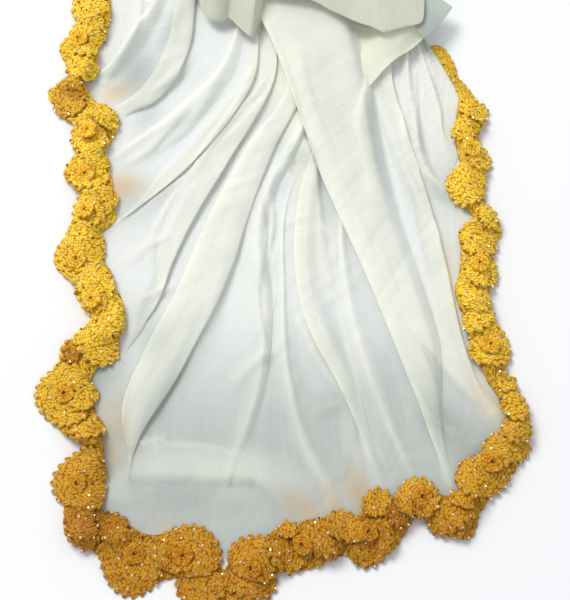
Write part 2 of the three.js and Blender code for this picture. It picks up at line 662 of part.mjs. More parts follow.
function rose([wave, share], index) {
  const on = (w, a) => {
    const near = wave + w * ROSE_SPAN.wave;
    return edgingPoint(near, share + a * ROSE_SPAN.share, seamPoint(near));
  };
  const c = on(0, 0);
  const length = on(1, 0).sub(on(-1, 0)).normalize();
  const over = on(0, 1).sub(on(0, -1));
  const normal = over.cross(length).normalize();
  if (normal.z < 0) normal.negate();
  const side = normal.clone().cross(length).normalize();
  const foot = roseFoot(c, normal);
  const petals = 6;
  // columns: radius share, height
  const rings = [
    [ROSE_FOOT, foot],
    [1, foot + ROSE_LIP],
    [0.76, foot + ROSE_TALL - 1],
    [0.42, foot + ROSE_TALL],
  ];
  const around = 2 * petals;
  const place = [];
  for (const [size, height] of rings)
    for (let i = 0; i < around; i += 1) {
      const angle = (2 * Math.PI * i) / around;
      const r = ROSE_RADIUS * size * (i % 2 ? 0.9 : 1);
      const p = c.clone().addScaledVector(normal, height);
      p.addScaledVector(length, r * Math.cos(angle)).addScaledVector(side, r * Math.sin(angle));
      place.push(p.x, p.y, p.z);
    }
  for (const height of [foot, foot + ROSE_TALL - 1.2]) {
    const p = c.clone().addScaledVector(normal, height);
    place.push(p.x, p.y, p.z);
  }
  const faces = [];
  for (let i = 0; i < around; i += 1) {
    const j = (i + 1) % around;
    for (let k = 0; k < rings.length - 1; k += 1) {
      const [a, b] = [k * around + i, k * around + j];
      faces.push(a, b, b + around, a, b + around, a + around);
    }
    faces.push((rings.length - 1) * around + i, (rings.length - 1) * around + j, rings.length * around + 1);
    faces.push(j, i, rings.length * around);
  }
  const shape = new THREE.BufferGeometry()
    .setAttribute("position", new THREE.Float32BufferAttribute(place, 3))
    .setIndex(faces);
  return piece(`rose_${String(index + 1).padStart(2, "0")}`, shape, YARN);
}

const scarf = new THREE.Group();
scarf.position.set(-MIDDLE.x, -MIDDLE.y, 0);
scarf.add(spreadCloth());
for (const stretch of STRETCHES) scarf.add(edgingStretch(stretch));
scarf.add(bunch());
for (const turn of TURNS) scarf.add(turnOver(turn));
scarf.add(swag());
scarf.add(corner());
BACK_PARTS.forEach((name, index) => scarf.add(backStretch(name, index)));
ROSES.forEach((row, index) => scarf.add(rose(row, index)));

export default scarf;
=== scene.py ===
import math

import bpy
import numpy as np
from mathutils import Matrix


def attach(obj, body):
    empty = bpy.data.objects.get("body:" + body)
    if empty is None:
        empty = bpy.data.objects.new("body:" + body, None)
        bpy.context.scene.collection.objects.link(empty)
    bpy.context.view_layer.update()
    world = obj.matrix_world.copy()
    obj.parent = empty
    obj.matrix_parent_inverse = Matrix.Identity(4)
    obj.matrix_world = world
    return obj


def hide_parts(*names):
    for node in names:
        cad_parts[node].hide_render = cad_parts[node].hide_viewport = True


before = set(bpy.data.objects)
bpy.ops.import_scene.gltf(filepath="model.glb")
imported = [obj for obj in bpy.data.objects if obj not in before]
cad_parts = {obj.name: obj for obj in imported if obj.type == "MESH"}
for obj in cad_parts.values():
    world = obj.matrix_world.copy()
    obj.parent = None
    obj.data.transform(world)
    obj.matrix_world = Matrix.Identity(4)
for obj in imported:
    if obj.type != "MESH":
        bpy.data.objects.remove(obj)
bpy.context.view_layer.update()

# ======================================================================================================
# SPREAD CLOTH
# The open end of the scarf: one panel of sheer off-white chiffon, cut straight and laid down in long
# leaning folds that run from the gathered end to the sewn edge. Millimetres, moved to the frame below.
# ======================================================================================================
MIDDLE = (-5.9, 108.2)  # the laid scarf's middle, which is the frame's origin
CLOTH_REST = 0.7  # mm, the cloth's middle over the surface it lies on
EDGING_DEEP = 46
UNDER_BUNCH = 38  # mm of the spread panel that go on under the bunch
ROWS_UNDER = 9
ROWS_FINE = np.linspace(0, 1, 138)  # shares of each fold's length, from the gathered end

# The sewn edge and the outer edge of the edging, one row for each wave of its ruffle
# columns: seam x, seam y, outer x, outer y
WAVES = [
    (-197, 414, -245, 416),
    (-198, 358, -241, 358),
    (-197, 332, -227, 335),
    (-209, 301, -250, 305),
    (-211, 276, -239, 273),
    (-223, 254, -236, 254),
    (-213, 237, -258, 240),
    (-199, 220, -246, 214),
    (-184, 206, -226, 201),
    (-187, 188, -228, 187),
    (-198, 165, -229, 165),
    (-187, 139, -236, 144),
    (-185, 113, -220, 114),
    (-181, 92, -222, 94),
    (-202, 67, -237, 68),
    (-197, 42, -241, 42),
    (-182, 19, -224, 16),
    (-170, -6, -210, -6),
    (-170, -30, -200, -28),
    (-175, -52, -217, -44),
    (-194, -77, -234, -64),
    (-201, -94, -242, -88),
    (-195, -113, -248, -110),
    (-188, -141, -228, -139),
    (-184, -164, -200, -163),
    (-182, -197, -226, -197),
    (-183, -225, -218, -225),
    (-170, -234, -210, -251),
    (-153, -241, -184, -264),
    (-134, -248, -157, -296),
    (-120, -247, -124, -290),
    (-99, -241, -102, -292),
    (-76, -255, -84, -314),
    (-60, -282, -49, -327),
    (-44, -262, -22, -300),
    (-19, -251, -6, -282),
    (2, -236, 17, -280),
    (22, -244, 37, -279),
    (55, -227, 57, -266),
    (70, -232, 77, -271),
    (92, -201, 99, -266),
    (107, -216, 118, -245),
    (130, -195, 134, -231),
    (153, -208, 158, -245),
    (170, -212, 182, -250),
    (175, -198, 192, -224),
    (182, -184, 204, -209),
    (198, -167, 218, -195),
    (210, -150, 238, -165),
    (231, -137, 247, -143),
    (221, -111, 236, -109),
    (207, -86, 221, -86),
    (196, -56, 231, -53),
    (185, -16, 208, -13),
    (179, 10, 212, 10),
    (186, 35, 221, 35),
    (187, 56, 220, 58),
    (188, 72, 227, 75),
    (201, 92, 218, 98),
    (181, 126, 211, 124),
    (190, 156, 218, 161),
    (186, 187, 207, 187),
    (189, 211, 218, 210),
    (192, 239, 203, 241),
    (180, 269, 189, 272),
    (163, 302, 175, 299),
]

# The folds, from the left side round to the right side.
# columns: kind, wave where it meets the seam, side it leans to, wide and high at the gathered end,
# halfway and at the seam, part where it stands, line
FOLDS = [
    ("plain", 1, 0, (0, 0, 0), (0, 0, 0), (0, 1), [(-158, 362), (-176, 388)]),
    ("ridge", 5.7, -1, (10, 12, 9), (8, 9, 5), (0, 0.85),
     [(-145, 352), (-157, 330), (-172, 300), (-192, 272)]),
    ("roll", 8.8, 1, (22, 27, 16), (12, 13, 7), (0, 0.85),
     [(-124, 350), (-131, 305), (-152, 256), (-180, 222)]),
    ("ridge", 11.3, -1, (5, 14, 10), (4, 9, 5), (0.02, 0.9),
     [(-46, 342), (-66, 272), (-108, 218), (-150, 186)]),
    ("lap", 14.6, 1, (3, 14, 10), (4, 8, 5), (0.1, 0.88),
     [(-26, 341), (-36, 258), (-80, 182), (-124, 134), (-158, 104)]),
    ("lap", 19.4, 1, (3, 20, 10), (4, 10, 6), (0.06, 0.85),
     [(-14, 340), (-12, 262), (-64, 156), (-101, 86), (-122, 34), (-130, 4), (-150, -28)]),
    ("roll", 26.4, 1, (5, 44, 44), (5, 15, 9), (0.1, 0.82),
     [(-8, 338), (1, 246), (-38, 182), (-84, 86), (-112, 11), (-140, -48), (-166, -122), (-160, -190)]),
    ("ridge", 33.2, 1, (2, 14, 8), (3, 10, 4), (0.2, 0.62),
     [(9, 336), (21, 212), (-24, 116), (-34, 60), (-26, 0), (-30, -90), (-54, -176), (-70, -232)]),
    ("ridge", 38.6, 1, (2, 3, 15), (2, 3, 8), (0.45, 0.9),
     [(17, 336), (32, 212), (0, 106), (-3, 20), (0, -80), (18, -158), (44, -208)]),
    ("lap", 41.3, -1, (3, 12, 13), (3, 9, 7), (0.22, 0.9),
     [(25, 336), (42, 212), (17, 120), (12, 34), (25, -30), (57, -98), (81, -156)]),
    ("ridge", 43, -1, (2, 6, 16), (3, 6, 8), (0.3, 0.92),
     [(43, 335), (63, 220), (64, 150), (62, 62), (73, -20), (96, -104), (115, -158)]),
    ("lap", 45.1, -1, (86, 43, 22), (25, 15, 8), (0, 0.92),
     [(-26, 340), (-4, 284), (16, 222), (40, 146), (57, 102), (83, 38), (118, -57), (145, -138)]),
    ("lap", 49.6, 1, (7, 13, 12), (8, 9, 6), (0, 0.94),
     [(118, 332), (117, 262), (131, 195), (155, 100), (170, 26), (185, -57), (200, -104)]),
    ("ridge", 58.8, 1, (4, 9, 8), (5, 9, 6), (0.1, 0.9),
     [(132, 330), (136, 240), (142, 176), (156, 136), (182, 108)]),
    ("ridge", 61.8, 1, (3, 6, 6), (4, 7, 4), (0.1, 0.9), [(141, 331), (154, 276), (166, 225), (175, 186)]),
    ("plain", 66, 0, (0, 0, 0), (0, 0, 0), (0, 1), [(152, 333), (153, 318)]),
]

FOLD_RISE = {"plain": 0, "ridge": 0.95, "lap": 0.75, "roll": 0.62}  # of a fold's height, once it has settled

# How far each point of a fold's section is doubled cloth
FOLD_DOUBLED = {
    "plain": (0,),
    "ridge": (0, 0.25, 0.7, 0.35, 0),
    "lap": (0, 0.15, 0.4, 0.65, 0.95, 1, 0.9, 0.8, 0.6, 0.1),
    "roll": (0.6, 0.95, 1, 0.95, 0.85, 0.75, 0.65, 0.5, 0.4, 0.2, 0.0),
}

# Rolls and creases raised on the cloth as it lies. Left and right are as seen when going along the line.
# columns: width on its left, width on its right, height, doubled, line
CREASES = [
    (40, 6, 7.5, 0.62,
     [(-176, -181), (-145, -189), (-110, -190), (-64, -192), (-25, -195), (-8, -208), (0, -224), (3, -240)]),
    (6, 6, 1.8, 0.5,
     [(-183, -159), (-130, -157), (-74, -160), (-35, -172), (0, -197), (28, -221), (44, -227)]),
    (16, 5, 3.4, 0.3, [(-51, -94), (-34, -76), (-15, -62), (4, -58)]),
    (7, 14, 3.6, 0.35, [(61, -105), (68, -126), (70, -155), (81, -181), (90, -197)]),
    (5, 16, 3.2, 0.2, [(23, -126), (43, -116), (62, -113)]),
    (12, 5, 2.8, 0.3, [(16, 196), (40, 163), (56, 131), (72, 94), (90, 45), (105, 13), (119, -35)]),
    (10, 5, 3.2, 0.4, [(137, 295), (131, 245), (130, 191), (135, 154), (150, 118)]),
    (8, 5, 2.2, 0.4, [(178, 257), (185, 206), (190, 156)]),
    (6, 12, 4.0, 0.5, [(-164, 372), (-166, 321), (-184, 280), (-203, 252)]),
    (5, 34, 4.4, 0.85,
     [(-26, 328), (-19, 322), (-6, 285), (8, 240), (19, 196), (27, 172), (33, 143), (36, 110), (39, 73),
      (45, 39), (53, -6)]),
    (5, 12, 3.0, 0.3, [(10, 300), (17, 283), (30, 220), (54, 160)]),
    (5, 14, 5.0, 0.4, [(-30, 120), (-21, 83), (-21, 55), (-28, 9), (-24, -35), (-10, -68)]),
    (6, 10, 3.4, 0.4, [(130, -95), (153, -133), (179, -146)]),
    (5, 12, 3.4, 0.4, [(-120, 70), (-143, 60), (-166, 41), (-189, 34)]),
    (5, 10, 2.6, 0.3, [(-110, 14), (-126, 9), (-152, -2), (-172, -8)]),
    (9, 5, 3.2, 0.5, [(-4, 84), (1, 85), (21, 87), (39, 80), (52, 66), (50, 40)]),
    (6, 5, 4.0, 0.6, [(20, 196), (12, 182), (1, 171), (9, 154), (22, 141), (34, 131)]),
    (6, 5, 2.2, 0.6, [(-187, -144), (-175, -150), (-162, -158), (-146, -156), (-120, -148)]),
    (6, 5, 2.2, 0.6, [(-190, -164), (-178, -168), (-162, -175), (-146, -170)]),
    (14, 8, 4.4, 0.5, [(184, 53), (165, 69), (157, 84), (150, 110)]),
    (20, 20, 4.5, 0.3, [(-84, -225), (-50, -213), (-15, -228)]),
    (5, 14, 3.4, 0.5, [(-100, 222), (-115, 209), (-147, 172), (-182, 149)]),
    (5, 9, 2.6, 0.4, [(-98, 300), (-120, 262), (-150, 236)]),
    (14, 10, 2.6, 0.2, [(-60, 40), (-75, -10), (-98, -70), (-120, -120)]),
    (14, 14, 2.8, 0.1, [(-10, 60), (-14, 10), (-4, -60), (6, -110)]),
    (12, 6, 2.8, 0.3, [(30, 10), (50, -60), (82, -120), (104, -180)]),
    (7, 12, 3.0, 0.3, [(-70, 262), (-104, 204), (-138, 172)]),
    (7, 12, 3.0, 0.3, [(96, 60), (118, 0), (140, -60), (160, -120)]),
    (52, 5, 3.4, 0.7, [(118, 30), (128, -31), (144, -52), (162, -72), (185, -100), (219, -131)]),
    (14, 22, 2.0, 0.5, [(-192, -140), (-172, -183), (-162, -222)]),
    (26, 8, 3.0, 0.55, [(156, 280), (166, 220), (178, 165), (189, 120)]),
    (10, 5, 2.6, 0.5, [(130, 191), (139, 160), (155, 137), (178, 118), (205, 104)]),
    (12, 5, 2.0, 0.4, [(-4, 262), (-40, 212), (-62, 186), (-92, 162)]),
    (14, 4, 4.6, 0.5, [(92, 246), (109, 202), (128, 144), (147, 99), (162, 54), (175, 12)]),
    (22, 6, 5.0, 0.8,
     [(75, 332), (86, 300), (92, 276), (89, 243), (80, 213), (78, 189), (84, 156), (94, 99)]),
    (12, 4, 3.2, 0.5, [(-32, 285), (-50, 236), (-77, 189), (-98, 151), (-130, 124), (-165, 90)]),
    (10, 4, 3.2, 0.5, [(-6, 277), (-39, 236), (-74, 194), (-99, 153), (-121, 117), (-141, 76), (-147, 33)]),
    (5, 9, 3.0, 0.4, [(-1, 167), (-15, 132), (-13, 88), (-17, 33), (-1, -3)]),
    (6, 4, 3.4, 0.6, [(20, 193), (3, 176), (-1, 168), (8, 151), (28, 134)]),
    (12, 4, 3.2, 0.5, [(56, -3), (62, -45), (73, -90), (85, -151), (100, -178)]),
    (12, 4, 3.4, 0.5, [(10, -14), (28, -56), (49, -92), (72, -119), (85, -151)]),
    (6, 4, 3.0, 0.5, [(142, 274), (144, 232), (144, 195), (144, 169), (151, 140)]),
    (4, 9, 2.4, 0.4, [(43, 162), (55, 125), (65, 97), (75, 69)]),
]
CREASE_FULL = 1.35  # times the creases' heights, once the chiffon springs up


def at(p):
    """Millimetres of the laid scarf to metres in the frame."""
    q = np.array(p, float)
    q[..., 0] -= MIDDLE[0]
    q[..., 1] -= MIDDLE[1]
    return q / 1000


def ease(a, b, t):
    k = np.clip((np.asarray(t, float) - a) / (b - a), 0, 1)
    return k * k * (3 - 2 * k)


def mix(a, b, t):
    return a + (b - a) * t


def along(three, t):
    return mix(three[0], three[1], t * 2) if t < 0.5 else mix(three[1], three[2], t * 2 - 1)


def spline(points, u):
    """A centripetal curve through points, at shares u of its spans. Points run along the first axis."""
    p = np.asarray(points, float)
    p = np.concatenate([2 * p[:1] - p[1:2], p, 2 * p[-1:] - p[-2:-1]])
    n = len(points) - 1
    where = np.clip(np.asarray(u, float) * n, 0, n)
    k = np.minimum(where.astype(int), n - 1)
    w = (where - k).reshape((-1,) + (1,) * (p.ndim - 1))
    x = [p[k + i] for i in range(4)]
    step = [np.sum((x[i + 1] - x[i]) ** 2, axis=-1, keepdims=True) ** 0.25 for i in range(3)]
    b = np.where(step[1] < 1e-4, 1.0, step[1])
    a = np.where(step[0] < 1e-4, b, step[0])
    c = np.where(step[2] < 1e-4, b, step[2])
    t1 = ((x[1] - x[0]) / a - (x[2] - x[0]) / (a + b) + (x[2] - x[1]) / b) * b
    t2 = ((x[2] - x[1]) / b - (x[3] - x[1]) / (b + c) + (x[3] - x[2]) / c) * b
    c2 = -3 * x[1] + 3 * x[2] - 2 * t1 - t2
    c3 = 2 * x[1] - 2 * x[2] + t1 + t2
    return x[1] + t1 * w + c2 * w**2 + c3 * w**3


def evenly(points, t):
    """The same curve at shares t of its length."""
    u = np.linspace(0, 1, 401)
    q = spline(points, u)
    mile = np.concatenate([[0], np.cumsum(np.linalg.norm(np.diff(q, axis=0), axis=1))])
    return spline(points, np.interp(np.asarray(t, float) * mile[-1], mile, u))


SEAM = [(a, b) for a, b, _, _ in WAVES]
OUTER = [(c, d) for _, _, c, d in WAVES]


def at_wave(line, wave):
    return spline(line, (np.atleast_1d(wave) - 1) / (len(WAVES) - 1))


def arch_at(wave):
    """How high the edging arches where its ruffle is pushed together."""
    reach = np.linalg.norm(at_wave(SEAM, wave) - at_wave(OUTER, wave), axis=1)
    spare = np.sqrt(np.maximum(EDGING_DEEP**2 - reach**2, 0))
    under_wrap = 1 - 0.6 * ease(62.5, 64.5, wave)
    return np.maximum(3, np.minimum(0.44 * spare, 0.9 * reach) * under_wrap)


def seam_height(wave):
    return 0.6 + 0.16 * arch_at(wave)


def fold_section(kind, side, wide, high):
    """A fold cut across its line: a low ridge, a lap folded over flat, or a roll on its neck."""
    ramp = 6 + 0.5 * high
    turn = 0.22 * high
    points = [(0, 0)]
    if kind == "ridge":
        points = [
            (-wide, 0), (-0.35 * wide, 0.5 * high), (0.3 * wide, high), (0.7 * wide, 0.5 * high), (wide, 0),
        ]
    if kind == "lap":
        points = [
            (-wide - ramp, 0), (-wide - 0.5 * ramp, 0.5 * high), (-wide, 0.95 * high),
            (-0.5 * wide, 1.03 * high), (-0.04 * wide, high), (turn, 0.8 * high), (-0.04 * wide, 0.6 * high),
            (-0.94 * wide, 0.56 * high), (-wide - turn * 0.8, 0.3 * high), (-wide, 0),
        ]
    if kind == "roll":
        points = [
            (-0.22 * wide, 0), (-0.18 * wide, 0.28 * high), (-0.46 * wide, 0.36 * high),
            (-0.52 * wide, 0.62 * high), (-0.34 * wide, 0.95 * high), (0, 1.06 * high),
            (0.34 * wide, 0.95 * high), (0.52 * wide, 0.62 * high), (0.46 * wide, 0.36 * high),
            (0.18 * wide, 0.28 * high), (0.22 * wide, 0),
        ]
    if side < 0:
        points = [(-x, z) for x, z in points][::-1]
    if kind == "roll":
        points = [(x + 0.5 * wide, z) for x, z in points]
    return np.array(points, float)


def opened_section(fold, t):
    """The section at share t of the fold's length, opened out where the fold no longer stands."""
    kind, _, side, wide, high, (start, stop), _ = fold
    tall = along(high, t)
    full = fold_section(kind, side, along(wide, t), tall)
    standing = float(ease(start - 0.15, start, t) * (1 - 0.75 * ease(stop, 1, t)))
    folded = 1.0 if kind == "ridge" else float(ease(3.0, 6.0, tall * standing))
    even = np.linspace(full[:, 0].min(), full[:, 0].max(), len(full)) if len(full) > 1 else full[:, 0]
    rise = FOLD_RISE[kind] * standing
    doubled = np.array(FOLD_DOUBLED[kind], float)[:: -1 if side < 0 else 1]
    return np.stack([mix(even, full[:, 0], folded), full[:, 1] * rise, doubled * standing], axis=1)


def fold_lines(fold):
    """The lines of points that a fold's section draws from the gathered end to the seam."""
    kind, wave, _, _, _, _, line = fold
    end = at_wave(SEAM, wave)[0]
    curve = [*line, tuple(end)]
    count = 1 if kind == "plain" else len(opened_section(fold, 0.5))
    waves = wave + (np.arange(count) - (count - 1) / 2) * 0.13
    seam_way = (at_wave(SEAM, wave + 0.5) - at_wave(SEAM, wave - 0.5))[0]
    seam_way /= np.linalg.norm(seam_way)
    points = evenly(curve, ROWS_FINE)
    ways = evenly(curve, np.clip(ROWS_FINE + 0.004, 0, 1)) - evenly(curve, np.clip(ROWS_FINE - 0.004, 0, 1))
    ways /= np.linalg.norm(ways, axis=1, keepdims=True)
    rows = []
    for t, p, d in zip(ROWS_FINE, points, ways):
        across = mix(np.array([1.0, 0.0]), np.array([-d[1], d[0]]), ease(0, 0.5, t))
        across = mix(across, seam_way, ease(0.6, 1, t))
        across /= np.linalg.norm(across)
        section = np.zeros((1, 3)) if kind == "plain" else opened_section(fold, t)
        own = end + seam_way * section[:, :1]
        edge = (at_wave(SEAM, waves) - own) * ease(0.7, 1, t)
        xy = p + across * section[:, :1] + edge
        rows.append(np.concatenate([xy, section[:, 1:]], axis=1))
    return waves, np.array(rows)


WAVES_APART = 1.1  # between the lines of flat cloth, at the seam


def cloth_net():
    """Lines of points from the gathered end to the seam, from the left side to the right side."""
    waves, columns = [], []
    folds = [fold_lines(fold) for fold in FOLDS]
    for k, (own, rows) in enumerate(folds):
        for i, wave in enumerate(own):
            waves.append(wave)
            columns.append(rows[:, i])
        if k + 1 == len(folds):
            break
        next_waves, next_rows = folds[k + 1]
        gap = next_waves[0] - own[-1]
        count = max(0, round(gap / WAVES_APART) - 1)
        for j in range(1, count + 1):
            f = j / (count + 1)
            wave = own[-1] + gap * f
            line = mix(rows[:, -1], next_rows[:, 0], f)
            bow = at_wave(SEAM, wave)[0] - line[-1, :2]
            line[:, :2] += bow * (ROWS_FINE**3)[:, None]
            line[:, 2:] = 0
            waves.append(wave)
            columns.append(line)
    return np.array(waves), np.array(columns)


def noise(u, v, seed):
    """Smooth noise from -1 to 1 over two coordinates."""
    random = np.random.default_rng(seed)
    table = random.uniform(-1, 1, (64, 64))
    i, j = np.floor(u).astype(int), np.floor(v).astype(int)
    a, b = u - i, v - j
    a, b = a * a * (3 - 2 * a), b * b * (3 - 2 * b)
    corner = lambda p, q: table[(i + p) % 64, (j + q) % 64]
    return mix(mix(corner(0, 0), corner(1, 0), a), mix(corner(0, 1), corner(1, 1), a), b)


def raised_by(creases, xy):
    """The height that creases add at points, and how far the cloth is doubled there."""
    lift, doubled = np.zeros(xy.shape[:-1]), np.zeros(xy.shape[:-1])
    for left, right, high, double, line in creases:
        path = evenly(line, np.linspace(0, 1, 90))
        ways = np.gradient(path, axis=0)
        near, share, side = np.full(lift.shape, np.inf), np.zeros(lift.shape), np.zeros(lift.shape)
        for i, (q, way) in enumerate(zip(path, ways)):
            dx, dy = xy[..., 0] - q[0], xy[..., 1] - q[1]
            d = np.hypot(dx, dy)
            closer = d < near
            near = np.where(closer, d, near)
            share = np.where(closer, i / (len(path) - 1), share)
            side = np.where(closer, way[0] * dy - way[1] * dx, side)
        k = np.clip(1 - near / np.where(side > 0, left, right), 0, 1)
        k = k * k * (3 - 2 * k) * np.sin(np.pi * share) ** 0.5
        lift = np.maximum(lift, CREASE_FULL * high * k)
        doubled = np.maximum(doubled, double * np.sqrt(k))
    return lift, doubled


def quads_between(index):
    """One quad between each four neighbours of a grid of point numbers."""
    corners = [index[:-1, :-1], index[1:, :-1], index[1:, 1:], index[:-1, 1:]]
    return np.stack(corners, axis=-1).reshape(-1, 4)


def grid_mesh(name, points, closed=False):
    """A mesh over a grid of points in metres. A closed one joins its last column to its first."""
    rows, columns = points.shape[:2]
    index = np.arange(rows * columns).reshape(rows, columns)
    if closed:
        index = np.concatenate([index, index[:, :1]], axis=1)
    return raw_mesh(name, points.reshape(-1, 3), quads_between(index))


def raw_mesh(name, points, faces):
    """A smooth mesh whose faces all have the same number of corners."""
    mesh = bpy.data.meshes.new(name)
    faces = np.asarray(faces)
    mesh.vertices.add(len(points))
    mesh.vertices.foreach_set("co", np.ascontiguousarray(points, dtype=np.float32).ravel())
    sides = faces.shape[1]
    mesh.loops.add(faces.size)
    mesh.loops.foreach_set("vertex_index", np.ascontiguousarray(faces, dtype=np.int32).ravel())
    mesh.polygons.add(len(faces))
    mesh.polygons.foreach_set("loop_start", np.arange(0, faces.size, sides, dtype=np.int32))
    mesh.polygons.foreach_set("loop_total", np.full(len(faces), sides, dtype=np.int32))
    mesh.update(calc_edges=True)
    mesh.validate()
    mesh.shade_smooth()
    piece = bpy.data.objects.new(name, mesh)
    bpy.context.scene.collection.objects.link(piece)
    return piece


def note(piece, name, values):
    """Keeps a value for each point, which the material reads."""
    attribute = piece.data.attributes.new(name, "FLOAT", "POINT")
    attribute.data.foreach_set("value", np.ascontiguousarray(values, dtype=np.float32).ravel())


def material(name):
    made = bpy.data.materials.new(name)
    made.use_nodes = True
    made.node_tree.nodes.clear()
    return made


def node(tree, kind, inputs=None, **settings):
    """Adds a node. A constant goes on a socket by its name or number, and a socket is linked to it."""
    made = tree.nodes.new(kind)
    for key, value in settings.items():
        setattr(made, key, value)
    for key, value in (inputs or {}).items():
        if isinstance(value, bpy.types.NodeSocket):
            tree.links.new(value, made.inputs[key])
        else:
            made.inputs[key].default_value = value
    return made


# ---- sheer chiffon: the single layer is a cool white veil, doubled layers turn a warm closed ivory ----
IVORY = (0.965, 0.965, 0.86, 1)
COOL_WHITE = (0.955, 0.965, 0.945, 1)
VEIL = (0.955, 0.966, 0.96, 1)  # what passes between its threads
HEM_SHADE = (0.74, 0.765, 0.745, 1)  # painted shade: one layer is painted greyer towards the hem
HOLLOW_SHADE = (0.66, 0.705, 0.70, 1)  # painted shade in the hollows beside the folds
SHOWS_ORANGE = (0.95, 0.68, 0.40, 1)  # the edging through the cloth
HEM_FROM, HEM_FULL = -0.10, -0.28  # m along the scarf, where the painted shade at the hem starts and where it is full


def chiffon(name, single_cover, double_cover, always_doubled=0.0, tone=(1, 1, 1, 1)):
    """Sheer cloth. The covers are how much of what lies under it a single and a doubled layer hide."""
    made = material(name)
    tree = made.node_tree

    def mapped(value, low, high, to_low, to_high):
        inputs = {0: value, 1: low, 2: high, 3: to_low, 4: to_high}
        return node(tree, "ShaderNodeMapRange", inputs).outputs[0]

    def sums(how, a, b):
        return node(tree, "ShaderNodeMath", {0: a, 1: b}, operation=how, use_clamp=True).outputs[0]

    def blend(share, a, b, how="MIX"):
        mixed = node(tree, "ShaderNodeMix", {0: share, 6: a, 7: b}, data_type="RGBA", blend_type=how)
        return mixed.outputs[2]

    # painted shade: greyer towards the hem and in the hollows beside the folds
    def with_painted_shade(colour):
        at_hem = blend(hem, colour, blend(1.0, colour, HEM_SHADE, "MULTIPLY"))
        return blend(painted_hollow_shade, at_hem, HOLLOW_SHADE, "MULTIPLY")

    place = node(tree, "ShaderNodeNewGeometry")
    slope = node(tree, "ShaderNodeSeparateXYZ", {0: place.outputs["Normal"]})
    flat = node(tree, "ShaderNodeMath", {0: slope.outputs["Z"]}, operation="ABSOLUTE").outputs[0]
    marked = node(tree, "ShaderNodeAttribute", attribute_name="doubled").outputs["Fac"]
    steep = mapped(flat, 0.96, 0.35, 0.0, 0.6)
    layered = sums("MAXIMUM", sums("MAXIMUM", marked, steep), always_doubled)
    where = node(tree, "ShaderNodeTexCoord").outputs["Object"]
    weave = node(tree, "ShaderNodeTexNoise", {"Vector": where, "Scale": 900.0, "Detail": 1.0}).outputs[0]
    cloudy = node(tree, "ShaderNodeTexNoise", {"Vector": where, "Scale": 17.0, "Detail": 3.0}).outputs[0]
    woven, clouded = mapped(weave, 0.3, 0.7, -0.02, 0.02), mapped(cloudy, 0.3, 0.7, -0.07, 0.07)
    patchy = node(tree, "ShaderNodeMath", {0: woven, 1: clouded}, operation="ADD").outputs[0]
    cover = sums("ADD", mapped(layered, 0.0, 1.0, single_cover, double_cover), patchy)
    along_scarf = node(tree, "ShaderNodeSeparateXYZ", {0: where}).outputs["Y"]
    far_down = node(
        tree, "ShaderNodeMapRange", {0: along_scarf, 1: HEM_FROM, 2: HEM_FULL, 3: 0.0, 4: 1.0},
        interpolation_type="SMOOTHSTEP",
    )
    # painted shade towards the hem, mostly on the single layer
    hem = sums("MULTIPLY", far_down.outputs[0], mapped(layered, 0.0, 1.0, 1.0, 0.35))
    painted_hollow_shade = node(tree, "ShaderNodeAttribute", attribute_name="painted_hollow_shade").outputs["Fac"]
    tint = node(tree, "ShaderNodeAttribute", attribute_name="under").outputs["Fac"]
    colour = blend(tint, blend(layered, COOL_WHITE, IVORY), SHOWS_ORANGE)
    # tone is painted shade over a whole copy of the cloth
    colour = blend(1.0, with_painted_shade(colour), tone, "MULTIPLY")
    veil = blend(1.0, blend(tint, with_painted_shade(VEIL), SHOWS_ORANGE), tone, "MULTIPLY")
    face = node(tree, "ShaderNodeBsdfDiffuse", {"Color": colour, "Roughness": 0.6})
    through = node(tree, "ShaderNodeBsdfTranslucent", {"Color": colour})
    sheen = node(tree, "ShaderNodeBsdfSheen", {"Color": (1, 1, 1, 1), "Roughness": 0.45})
    body = node(tree, "ShaderNodeMixShader", {0: 0.06, 1: face.outputs[0], 2: through.outputs[0]})
    silky = node(tree, "ShaderNodeMixShader", {0: 0.04, 1: body.outputs[0], 2: sheen.outputs[0]})
    open_weave = node(tree, "ShaderNodeBsdfTransparent", {"Color": veil})
    cloth_look = node(tree, "ShaderNodeMixShader", {0: cover, 1: open_weave.outputs[0], 2: silky.outputs[0]})
    node(tree, "ShaderNodeOutputMaterial", {"Surface": cloth_look.outputs[0]})
    return made


SHEER = chiffon("sheer_chiffon", 0.46, 0.90)

# Places where the edging has turned under the cloth and shows through it
# columns: x, y, half length, half width, turn in degrees, strength
SHOWS_THROUGH = [
    (-186, 245, 18, 10, 35, 0.45),
    (-178, 129, 20, 13, 10, 0.6),
    (-181, -60, 10, 16, 10, 0.15),
    (-174, -140, 16, 32, 5, 0.3),
    (-181, -165, 18, 12, -30, 0.4),
    (17, -221, 26, 13, -35, 0.42),
    (74, -207, 12, 26, 20, 0.5),
    (207, -112, 11, 26, 30, 0.3),
    (176, 40, 8, 20, 10, 0.15),
    (-120, -236, 16, 8, 0, 0.15),
    (47, -214, 16, 20, -20, 0.3),
]

# Places where shade is painted on the cloth in soft grey patches
# columns: as above
PAINTED_SHADE_SPOTS = [
    (-164, 268, 34, 22, 70, 0.75),
    (-128, 322, 12, 42, -25, 0.5),
    (-166, 118, 26, 30, 0, 0.4),
    (-70, -214, 66, 15, 0, 0.3),
    (-139, -38, 20, 34, 20, 0.3),
    (-196, -82, 26, 18, 30, 0.7),
    (164, -134, 18, 34, 40, 0.45),
    (196, -170, 22, 16, 0, 0.5),
    (36, -118, 34, 14, 12, 0.3),
    (-118, -96, 8, 60, -22, 0.3),
    (172, 128, 22, 40, 0, 0.3),
    (20, 163, 16, 11, -30, 0.55),
    (-150, 214, 20, 12, 50, 0.35),
]


